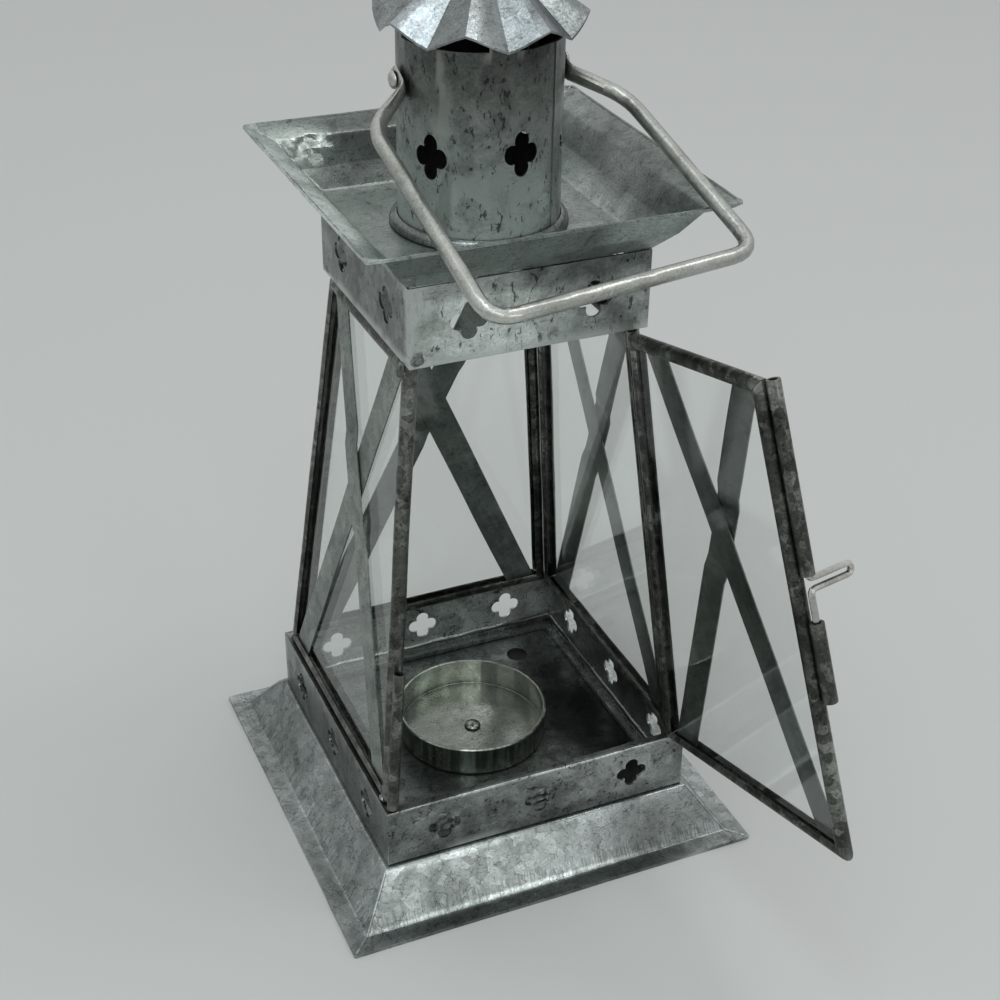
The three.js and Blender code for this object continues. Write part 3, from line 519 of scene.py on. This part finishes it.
MATERIALS = {
    "galvanised_sheet": worn_metal("galvanised_sheet", SHEET_TONES),
    # Lower gallery: painted shade on the faces that look up and on the left and right walls, painted light
    # on the back wall, a painted highlight along the front's top edge, stains along the front's foot and
    # round two piercings
    "lower_sheet": worn_metal(
        "lower_sheet", SHEET_TONES, upward_shade=0.7, cracks=0.15, marks=0.3, flecks=0.75, grime=0.45,
        light_and_tone_zones=(((-60, -77, 28), (10, 70, 16), 0.52), ((10, -137, 20), (70, 6, 4.5), 0.6),
               ((0, -18, 31), (74, 6, 16), 2.7), ((58, -77, 31), (5, 66, 18), 0.45),
               ((-34, -137, 29), (12, 5, 11), 0.62),
               ((3, -137, 30), (12, 5, 10), 0.68), ((0, -137.1, 43), (66, 1.6, 1.1), 2.4))),
    # Upper gallery: a lighter bloom on the front's left and a light oval mark, darker on the left wall, and
    # painted shade along the top of the front under the tray
    "upper_sheet": worn_metal(
        "upper_sheet", SHEET_TONES, cracks=0.12, marks=0.3, flecks=0.75, grime=0.4, upright=0.4,
        light_and_tone_zones=(((-16, -121, 220), (30, 9, 22), 1.8), ((-44, -77, 221), (7, 54, 26), 0.75),
               ((10, -121, 234), (60, 9, 5), 0.6),
               ((36, -121, 226), (12, 5, 9), 1.3))),
    # Plinth: painted shade on the right of the front, painted highlights along the front's lower fold and
    # top fold, and darker along the foot of the front lip
    "plinth_sheet": worn_metal(
        "plinth_sheet", PLINTH_TONES, crystal=3.4 * MM, patch=0.12, tip=0.035, flecks=0.4, grime=0.22,
        marks=0.35, rough=(0.24, 0.38), metallic=0.88, fold=(1.5 * MM, 7 * MM),
        light_and_tone_zones=(((45, -145, 10), (40, 16, 14), 0.62), ((0, -155, 1), (90, 5, 2.5), 0.6),
               ((-12, -150.3, 2), (62, 1.8, 1.4), 2.0), ((-36, -139, 18), (30, 2.2, 1.8), 1.7))),
    "cap_sheet": worn_metal(
        "cap_sheet", CAP_TONES, patch=0.06, tip=0.015, cracks=0.2, flecks=0.4, grime=0.18, marks=0.35,
        rough=(0.18, 0.32), metallic=0.9, wave=0.2 * MM),
    # Tray: a painted highlight along the left lip, painted shade on the right and back walls and rims, and
    # lighter at the dent on the back left
    "tray_sheet": worn_metal(
        "tray_sheet", TRAY_TONES, patch=0.05, tip=0.015, cracks=0.2, flecks=0.45, grime=0.28, marks=0.3,
        rough=(0.22, 0.38), metallic=0.85,
        light_and_tone_zones=(((-60, -77, 256), (7, 66, 5), 2.1), ((53, -77, 247), (13, 62, 10), 0.55),
               ((0, -23, 248), (60, 12, 10), 0.55), ((4, -17, 256), (58, 8, 6), 0.5),
               ((60, -77, 256), (8, 60, 6), 0.6), ((-46, -24, 250), (15, 10, 9), 1.9))),
    # Chimney: a painted reflection lighter towards the foot, and painted shade inside the bore, under the
    # cap and on the right side
    "dull_sheet": worn_metal(
        "dull_sheet", DULL_TONES, patch=0.08, tip=0.02, cracks=0.08, flecks=0.75, grime=0.42, marks=0.3,
        upright=0.45,
        rough=(0.28, 0.44), metallic=0.6, foot=(239 * MM, 292 * MM, (0.64, 0.71, 0.69)),
        bore=(CHIMNEY_MIDDLE.x, CHIMNEY_MIDDLE.y, CHIMNEY_BORE),
        light_and_tone_zones=(((-10, -98, 300), (28, 24, 16), 0.7), ((22, -96, 262), (12, 14, 22), 0.75))),
    # Floor plate: painted shade on its right part and painted light on its back left
    "plate_sheet": worn_metal(
        "plate_sheet", PLATE_TONES, tip=0.03, grime=0.35, marks=0.45,
        light_and_tone_zones=(((46, -90, 16), (24, 52, 6), 0.22), ((-30, -40, 16), (40, 30, 6), 1.5))),
    # Floor plate's edge: painted shade on the right and a painted highlight on the back left
    "flange_sheet": worn_metal(
        "flange_sheet", SHEET_TONES, cracks=0.1, marks=0.2, flecks=0.5, rough=(0.2, 0.34), metallic=0.9,
        light_and_tone_zones=(((58, -60, 20), (40, 70, 10), 0.35), ((-30, -20, 20), (50, 10, 8), 1.5))),
    "dark_frame": worn_metal(
        "dark_frame", DARK_TONES, crystal=3 * MM, patch=0.14, tip=0.04, flecks=0.6, cracks=0,
        grime=0.6, marks=0.3, rough=(0.24, 0.46), metallic=0.75),
    # Painted light: a lighter copy of the frame metal for the left panel's frame
    "lit_frame": worn_metal(
        "lit_frame", LIT_FRAME_TONES, crystal=3 * MM, patch=0.14, tip=0.04, flecks=0.6, cracks=0,
        grime=0.6, marks=0.35, rough=(0.26, 0.44), metallic=0.75),
    "dull_hem": worn_metal(
        "dull_hem", PLATE_TONES, patch=0.04, tip=0, cracks=0, flecks=0.5, grime=0.4, marks=0.2),
    "burnt": worn_metal(
        "burnt", DARK_TONES, crystal=2 * MM, patch=0.1, tip=0, flecks=0.6, cracks=0,
        grime=0.6, marks=0.3, rough=(0.4, 0.6), metallic=0.5),
    "strap_metal": worn_metal(
        "strap_metal", STRAP_TONES, patch=0.1, tip=0.02, cracks=0, grime=0.45, flecks=0.55,
        marks=0.35, rough=(0.28, 0.4), metallic=0.55),
    # Painted light: a lighter copy of the strap metal for the back straps
    "lit_strap": worn_metal(
        "lit_strap", LIT_STRAP_TONES, patch=0.1, tip=0.02, cracks=0, grime=0.4, flecks=0.5,
        marks=0.25, rough=(0.28, 0.4), metallic=0.35),
    # Candle cup: painted highlights on the back of the inner wall, and painted shade on the front
    "cup_metal": worn_metal(
        "cup_metal", CUP_TONES, patch=0.06, tip=0, cracks=0, grime=0.2, flecks=0.35, marks=0.2,
        rough=(0.14, 0.28), metallic=0.9, wave=0.15 * MM, relief=0.004 * MM,
        skirt=(CUP_MIDDLE.x, CUP_MIDDLE.y, (0.36, 0.42, 0.36)),
        light_and_tone_zones=(((-3, -47, 24), (13, 5, 8), 1.9), ((12, -102, 23), (30, 9, 8), 0.7),
               ((-14, -52, 26), (20, 14, 9), 1.5))),
    "bail_metal": worn_metal(
        "bail_metal", BAIL_TONES, patch=0.03, tip=0, cracks=0, grime=0.12, flecks=0.2, marks=0.1,
        rough=(0.24, 0.36), metallic=0.9, wave=0.1 * MM),
    "bright_wire": worn_metal(
        "bright_wire", WIRE_TONES, patch=0.03, tip=0, cracks=0, grime=0.1, flecks=0.2, marks=0,
        rough=(0.12, 0.2), metallic=1.0, wave=0.05 * MM),
    "solder": worn_metal(
        "solder", SOLDER_TONES, patch=0, tip=0, cracks=0, grime=0.45, flecks=0.4, marks=0,
        rough=(0.2, 0.36), metallic=0.9, wave=0.1 * MM),
    "glass": glass_material(),
}
PAINT_OF = {
    "base_plinth": "plinth_sheet",
    "chimney_cap": "cap_sheet",
    "top_tray": "tray_sheet",
    "chimney": "dull_sheet",
    "lower_gallery": "lower_sheet",
    "upper_gallery": "upper_sheet",
    "chimney_collar": "solder",
    "floor_plate": "plate_sheet",
    # The back straps get the lighter copy of the strap metal: painted light
    "back_strap_over": "lit_strap",
    "back_strap_under": "lit_strap",
    # The left panel's frame gets the lighter copy of the frame metal: painted light
    "left_top_rail": "lit_frame",
    "left_bottom_rail": "lit_frame",
    "left_front_stile": "lit_frame",
    "left_back_stile": "lit_frame",
}


# Metal pieces: each node's form, with softened folds and the strays of hand work

noise.seed_set(STRAY_SEED)


def stray(place):
    """How far a point of hand-worked sheet lies from true."""
    at = place / STRAY_LENGTH
    return STRAY_SIZE * noise.noise_vector(at)


def cleared(bm):
    """Joins the node's split corners and clears the edges that lie in a flat face."""
    bmesh.ops.remove_doubles(bm, verts=bm.verts, dist=WELD_REACH)
    bmesh.ops.dissolve_limit(
        bm, angle_limit=math.radians(0.5), verts=bm.verts, edges=bm.edges, use_dissolve_boundaries=False)


def eased(bm):
    """Lets a strap rise gently towards its crossing instead of stepping over it."""
    middle = sum((v.co for v in bm.verts), Vector()) / len(bm.verts)
    tip = max(bm.verts, key=lambda v: (v.co - middle).length).co
    far = max(bm.verts, key=lambda v: (v.co - tip).length).co
    longest = max(bm.edges, key=lambda e: e.calc_length())
    along = (longest.verts[1].co - longest.verts[0].co).normalized()
    along *= math.copysign(1, along.dot(tip - far))
    ends = [v.co for v in bm.verts if min((v.co - tip).length, (v.co - far).length) < 16 * MM]
    across = max((e - tip - (e - tip).dot(along) * along for e in ends), key=lambda w: w.length)
    facing = along.cross(across).normalized()
    heights = [(v.co - far).dot(facing) for v in bm.verts]
    if max(heights) + min(heights) < 0:
        facing, heights = -facing, [-h for h in heights]
    base = min(heights)
    raised = [v for v, h in zip(bm.verts, heights) if h - base > STRAP_STEP]
    crossing = sum(((v.co - far).dot(along) for v in raised)) / len(raised)
    for vertex in bm.verts:
        away = (vertex.co - far).dot(along) - crossing
        if abs(abs(away) - STRAP_FOOT) < 0.6 * MM:
            room = (tip - far).dot(along) - crossing if away > 0 else crossing
            ease = min(STRAP_EASE, 0.6 * (room - STRAP_FOOT))
            vertex.co += math.copysign(ease, away) * along


def breadth(face, edge):
    """How far a face reaches from one of its edges."""
    return face.calc_area() / max(edge.calc_length(), WELD_REACH)


def softened(bm, rim, fold):
    """Rounds the folds and the rims."""
    sharp = [e for e in bm.edges if len(e.link_faces) == 2 and e.calc_face_angle(0) > FOLD_ANGLE]
    folds = [e for e in sharp if fold and min(breadth(f, e) for f in e.link_faces) > 6 * fold]
    if folds:
        bmesh.ops.bevel(
            bm, geom=folds, offset=fold, offset_type="OFFSET", segments=3, profile=0.5,
            affect="EDGES", clamp_overlap=True)
    rims = [e for e in bm.edges if len(e.link_faces) == 2 and e.calc_face_angle(0) > RIM_ANGLE]
    bmesh.ops.bevel(
        bm, geom=rims, offset=rim, offset_type="OFFSET", segments=2, profile=0.5,
        affect="EDGES", clamp_overlap=True)


def reach_of(place, dent):
    """0 in the middle of a dent, 1 at its edge."""
    middle, size = dent[0], dent[1]
    return Vector([(c / MM - m) / r for c, m, r in zip(place, middle, size)]).length


def dented(place, dents):
    """How far knocks and crumples push a point of the sheet."""
    push = Vector()
    for dent in dents:
        inside = 1 - reach_of(place, dent)
        if inside <= 0:
            continue
        _, _, way, depth, grain = dent
        crumple = noise.noise(place / (grain * MM)) + 0.4 * noise.noise(place / (0.45 * grain * MM))
        push += inside * inside * (3 - 2 * inside) * depth * MM * (crumple - 0.3) * Vector(way)
    return push


def cut_across(bm, axis, at, near=None):
    """Cuts the surface where it crosses a level of one axis, all of it or only near a dent."""
    faces = [f for f in bm.faces if near is None or reach_of(f.calc_center_median(), near) < 1.25]
    if not faces:
        return
    edges = {e for f in faces for e in f.edges}
    corners = {v for f in faces for v in f.verts}
    point = Vector([at if i == axis else 0 for i in range(3)])
    way = Vector([1 if i == axis else 0 for i in range(3)])
    bmesh.ops.bisect_plane(
        bm, geom=[*corners, *edges, *faces], dist=0.02 * MM, plane_co=point, plane_no=way)


def divided(bm, longest, dents):
    """Cuts a grid into the surface so that it can bend gently, a finer one where it is dented."""
    for axis in range(3):
        low = min(v.co[axis] for v in bm.verts)
        high = max(v.co[axis] for v in bm.verts)
        steps = math.ceil((high - low) / longest)
        for i in range(1, steps):
            cut_across(bm, axis, low + (high - low) * i / steps)
    for dent in dents:
        for axis in range(3):
            middle, reach = dent[0][axis] * MM, dent[1][axis] * MM
            steps = math.ceil(2 * reach / DENT_STEP)
            for i in range(steps + 1):
                cut_across(bm, axis, middle - reach + (2 * i + 0.31) * reach / steps, near=dent)
    bmesh.ops.triangulate(bm, faces=bm.faces, quad_method="BEAUTY", ngon_method="BEAUTY")


def dressed(node):
    """The piece that shows for a node: its form, softened and a little uneven."""
    uneven = 0 if node.startswith(TRUE_FORMS) and "strap" not in node else 1
    bm = bmesh.new()
    bm.from_mesh(frame["nodes"][node].data)
    cleared(bm)
    if node.endswith("strap_over"):
        eased(bm)
    softened(bm, RIM, FOLD_OF.get(node, 0))
    dents = DENTS.get(node, ())
    divided(bm, LONGEST, dents)
    low, high = cad_box
    for vertex in bm.verts:
        moved = vertex.co + uneven * stray(vertex.co) + dented(vertex.co, dents)
        vertex.co = [min(max(v, a), b) for v, a, b in zip(moved, low, high)]
    name = node + "_piece"
    mesh = bpy.data.meshes.new(name)
    bm.to_mesh(mesh)
    bm.free()
    if "custom_normal" in mesh.attributes:
        mesh.attributes.remove(mesh.attributes["custom_normal"])
    made = bpy.data.objects.new(name, mesh)
    bpy.context.scene.collection.objects.link(made)
    mesh.polygons.foreach_set("use_smooth", [True] * len(mesh.polygons))
    mesh.set_sharp_from_angle(angle=SHARP_OF.get(node, FOLD_ANGLE))
    weigh = made.modifiers.new("even_shading", "WEIGHTED_NORMAL")
    weigh.keep_sharp = True
    return made


def put_on(made, body, slot, *nodes, paint=None):
    """Paints a piece, lets it ride on its body and shows it for its nodes."""
    made.data.materials.clear()
    made.data.materials.append(MATERIALS[paint or slot])
    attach(made, body)
    if nodes:
        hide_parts(*nodes)
    return made


SLOT_OF = {s["node"]: s["material_slot"] for s in frame["record"]["subparts"]}
BODY_OF = {n: b for b, names in frame["record"]["behaviour"]["bodies"].items() for n in names}


def dress_all():
    """Paints the glass and puts a dressed piece on every other node."""
    for node in sorted(frame["nodes"]):
        slot = SLOT_OF[node]
        if slot == "glass":
            frame["nodes"][node].data.materials.clear()
            frame["nodes"][node].data.materials.append(MATERIALS[slot])
            continue
        made = dressed(node)
        put_on(made, BODY_OF[node], slot, node, paint=PAINT_OF.get(node))


# Solder, seams and burrs, each riding with the sheet that it lies on


def added(bm, name, body, paint):
    """Makes a piece of its own from a form and lets it ride on a body."""
    mesh = bpy.data.meshes.new(name)
    bm.to_mesh(mesh)
    bm.free()
    mesh.polygons.foreach_set("use_smooth", [True] * len(mesh.polygons))
    mesh.set_sharp_from_angle(angle=math.radians(50))
    made = bpy.data.objects.new(name, mesh)
    bpy.context.scene.collection.objects.link(made)
    mesh.materials.append(MATERIALS[paint])
    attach(made, body)
    return made


def lump(name, place, size, seed, body="lantern", paint="solder"):
    """A cold drop of solder: a low, uneven heap. Millimetres."""
    bm = bmesh.new()
    bmesh.ops.create_icosphere(bm, subdivisions=3, radius=1)
    for vertex in bm.verts:
        grow = 1 + 0.5 * noise.noise(1.2 * vertex.co + Vector((seed, 0, 0)))
        grow += 0.16 * noise.noise(3.4 * vertex.co + Vector((0, seed, 0)))
        vertex.co = Vector([MM * (p + c * r * grow) for p, c, r in zip(place, vertex.co, size)])
    return added(bm, name, body, paint)


def skinned(bm, rings):
    """Closes a run of rings of corners into one surface with both ends shut."""
    count = len(rings[0])
    for one, two in zip(rings, rings[1:]):
        for k in range(count):
            bm.faces.new((one[k], one[(k + 1) % count], two[(k + 1) % count], two[k]))
    bm.faces.new(reversed(rings[0]))
    bm.faces.new(rings[-1])
    bmesh.ops.recalc_face_normals(bm, faces=bm.faces)


def bead(name, points, radius, seed, body="lantern", paint="galvanised_sheet"):
    """A soldered seam: a thin uneven ridge along points. Millimetres."""
    route = []
    for a, b in zip(points, points[1:]):
        a, b = Vector(a), Vector(b)
        steps = max(1, round((b - a).length / 1.4))
        route += [a.lerp(b, i / steps) for i in range(steps)]
    route.append(Vector(points[-1]))
    bm = bmesh.new()
    rings = []
    for i, middle in enumerate(route):
        ahead = (route[min(i + 1, len(route) - 1)] - route[max(i - 1, 0)]).normalized()
        side = ahead.cross(Vector((0, 0, 1)) if abs(ahead.z) < 0.9 else Vector((1, 0, 0))).normalized()
        lift = side.cross(ahead)
        reach = radius * (1 + 0.5 * noise.noise(0.6 * middle + Vector((seed, 0, 0))))
        reach *= 0.35 if i in (0, len(route) - 1) else 1
        ring = []
        for k in range(8):
            turn = k * math.pi / 4
            around = math.cos(turn) * side + math.sin(turn) * lift
            ring.append(bm.verts.new(MM * (middle + reach * around)))
        rings.append(ring)
    skinned(bm, rings)
    return added(bm, name, body, paint)


def corner_seams():
    """The mitred corners of the plinth and the tray."""
    for k, (x, y) in enumerate(((-1, -1), (1, -1), (1, 1), (-1, 1))):
        corner = [(x * half, MIDDLE + y * half, z) for half, z in PLINTH_CORNER]
        bead("plinth_seam_%d" % k, corner, 0.55, k, paint="plinth_sheet")
        corner = [(x * half, MIDDLE + y * half, z) for half, z in TRAY_CORNER]
        bead("tray_seam_%d" % k, corner, 0.42, 10 + k, paint="tray_sheet")


def tray_hems():
    """The rolled edge that runs round the tray's rim."""
    half, height = TRAY_HEM
    corners = [(-half, -half), (half, -half), (half, half), (-half, half)]
    for k in range(4):
        (x, y), (u, w) = corners[k], corners[(k + 1) % 4]
        bead("tray_hem_%d" % k, [(x, MIDDLE + y, height), (u, MIDDLE + w, height)], 0.42, 30 + k,
             paint="dull_hem")


def floor_flange():
    """The floor plate's turned-up edge, soldered to the inside of the lower gallery."""
    plate_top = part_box("floor_plate")[1].z
    wall_low, wall_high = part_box("lower_gallery")
    half = (wall_high.x - wall_low.x) / 2 / MM - 1.2
    middle = Vector((0, (wall_low.y + wall_high.y) / 2 / MM, plate_top / MM))
    for k in range(4):
        turn = Matrix.Rotation(k * math.pi / 2, 3, "Z")
        bm = bmesh.new()
        rows = []
        for i in range(FLANGE_STEPS + 1):
            x = (2 * i / FLANGE_STEPS - 1) * (half - 0.4)
            ragged = 0.5 * noise.noise(Vector((0.09 * x, k, 0)))
            row = []
            for inward, up in FLANGE_SECTION:
                crumple = 0.3 * noise.noise(Vector((0.12 * x, 0.3 * up, 5 + k)))
                lift = up * (1 + 0.1 * ragged)
                at = Vector((x, half - max(inward + crumple, -0.4), lift))
                row.append(bm.verts.new(MM * (middle + turn @ at)))
            rows.append(row)
        skinned(bm, rows)
        added(bm, "floor_flange_%d" % k, "lantern", "flange_sheet")


def solder_drops():
    """Drops of solder where frames and galleries meet."""
    for k, (place, size) in enumerate(SOLDER_DROPS):
        lump("solder_drop_%d" % k, place, size, 3.7 * k)
    lump("solder_tab", (-39.6, -119.6, 211.4), (2.2, 0.4, 2.3), 5.1, paint="plate_sheet")
    lump("burnt_solder", (-42.4, -112.8, 204.6), (1.7, 1.6, 3.4), 12.2, paint="burnt")
    lump("door_solder_top", (42.6, -187.0, 221.2), (1.3, 2.1, 0.8), 8.3, body="door")
    lump("door_solder_foot", (62.6, -238.4, 68.0), (1.2, 1.7, 1.5), 9.9, body="door")


def chimney_seam():
    """The lap where the chimney's sheet meets itself: a thin strip up its side."""
    radius = (CHIMNEY_HIGH.x - CHIMNEY_LOW.x) / 2 / MM
    bm = bmesh.new()
    rows = []
    for i in range(LAP_ROWS):
        z = LAP_FOOT + i * LAP_ROW
        row = []
        for out, share in LAP_SECTION:
            wander = 0.25 * noise.noise(Vector((0, 0, 0.12 * z)))
            at = LAP_TURN + (share * LAP_WIDTH + wander) / radius
            reach = (radius + out) * MM
            row.append(bm.verts.new(CHIMNEY_MIDDLE.xy.to_3d() + Vector(
                (reach * math.cos(at), reach * math.sin(at), z * MM))))
        rows.append(row)
    skinned(bm, rows)
    added(bm, "chimney_lap", "lantern", "dull_sheet")


def burr(name, place, half, seed):
    """The crumpled tongue of sheet that the punch pushed in behind a piercing of the front wall."""
    steps = 12
    bm = bmesh.new()
    layers = []
    for back in (0.0, 0.35):
        grid = []
        for i in range(steps + 1):
            row = []
            for j in range(steps + 1):
                u, w = 2 * i / steps - 1, 2 * j / steps - 1
                shrink = 1 - 0.22 * (u * u * w * w)
                at = Vector((u * half[0] * shrink, 0, w * half[1] * shrink))
                crumple = noise.noise(0.42 * at + Vector((seed, 0, 0)))
                crumple += 0.5 * noise.noise(1.1 * at + Vector((0, seed, 0)))
                row.append(bm.verts.new(MM * (Vector(place) + at + Vector((0, 1.1 + crumple + back, 0)))))
            grid.append(row)
        layers.append(grid)
    front, rear = layers
    for i in range(steps):
        for j in range(steps):
            bm.faces.new((front[i][j], front[i + 1][j], front[i + 1][j + 1], front[i][j + 1]))
            bm.faces.new((rear[i][j + 1], rear[i + 1][j + 1], rear[i + 1][j], rear[i][j]))
    for i in range(steps):
        for j in (0, steps):
            bm.faces.new((front[i][j], front[i + 1][j], rear[i + 1][j], rear[i][j]))
            bm.faces.new((front[j][i], front[j][i + 1], rear[j][i + 1], rear[j][i]))
    bmesh.ops.recalc_face_normals(bm, faces=bm.faces)
    added(bm, name, "lantern", "lower_sheet")


def details():
    """Everything that lies on the sheets."""
    corner_seams()
    tray_hems()
    floor_flange()
    solder_drops()
    chimney_seam()
    burr("burr_left", (-38.5, -136.2, 30.4), (5.2, 4.6), 2.0)
    burr("burr_middle", (-0.5, -136.2, 30.6), (5.0, 4.4), 7.0)


# Stage


def stage():
    """A pale floor that keeps the shadow and a pale surround."""
    mesh = bpy.data.meshes.new("floor")
    reach = 4
    corners = [(-reach, -reach, 0), (reach, -reach, 0), (reach, reach, 0), (-reach, reach, 0)]
    mesh.from_pydata(corners, [], [(0, 1, 2, 3)])
    floor = bpy.data.objects.new("floor", mesh)
    bpy.context.scene.collection.objects.link(floor)
    paint = Paint("floor")
    mesh.materials.append(paint.principled(Base_Color=(0.66, 0.67, 0.65, 1), Roughness=0.9))
    world = bpy.data.worlds.new("surround")
    bpy.context.scene.world = world
    world.use_nodes = True
    tree = world.node_tree
    tree.nodes.clear()
    output = tree.nodes.new("ShaderNodeOutputWorld")
    seen = tree.nodes.new("ShaderNodeBackground")
    upward = tree.nodes.new("ShaderNodeSeparateXYZ")
    tree.links.new(tree.nodes.new("ShaderNodeTexCoord").outputs["Generated"], upward.inputs[0])
    shade = tree.nodes.new("ShaderNodeMapRange")
    tree.links.new(upward.outputs["Z"], shade.inputs["Value"])
    shade.inputs["From Min"].default_value = 0
    shade.inputs["From Max"].default_value = 0.9
    shade.inputs["To Min"].default_value = HORIZON
    shade.inputs["To Max"].default_value = ZENITH
    tree.links.new(shade.outputs[0], seen.inputs["Color"])
    light = tree.nodes.new("ShaderNodeBackground")
    light.inputs["Color"].default_value = (0.95, 0.98, 1, 1)
    light.inputs["Strength"].default_value = WORLD_LIGHT
    rays = tree.nodes.new("ShaderNodeLightPath")
    shown = rays.outputs["Is Camera Ray"]
    for kind in ("Is Glossy Ray", "Is Transmission Ray"):
        either = tree.nodes.new("ShaderNodeMath")
        either.operation = "MAXIMUM"
        tree.links.new(shown, either.inputs[0])
        tree.links.new(rays.outputs[kind], either.inputs[1])
        shown = either.outputs[0]
    mix = tree.nodes.new("ShaderNodeMixShader")
    tree.links.new(shown, mix.inputs[0])
    tree.links.new(light.outputs[0], mix.inputs[1])
    tree.links.new(seen.outputs[0], mix.inputs[2])
    tree.links.new(mix.outputs[0], output.inputs["Surface"])
    bpy.context.scene.view_settings.view_transform = "Standard"


def lamp(name, place, aim, size, power, tint):
    """A soft round lamp that the camera doesn't see."""
    data = bpy.data.lights.new(name, "AREA")
    data.shape = "DISK"
    data.size = size
    data.energy = power
    data.color = tint
    made = bpy.data.objects.new(name, data)
    made.location = place
    made.visible_camera = False
    made.rotation_euler = (Vector(aim) - Vector(place)).to_track_quat("-Z", "Y").to_euler()
    bpy.context.scene.collection.objects.link(made)


camera()
dress_all()
details()
stage()
for lamp_name, settings in LAMPS.items():
    lamp(lamp_name, *settings)
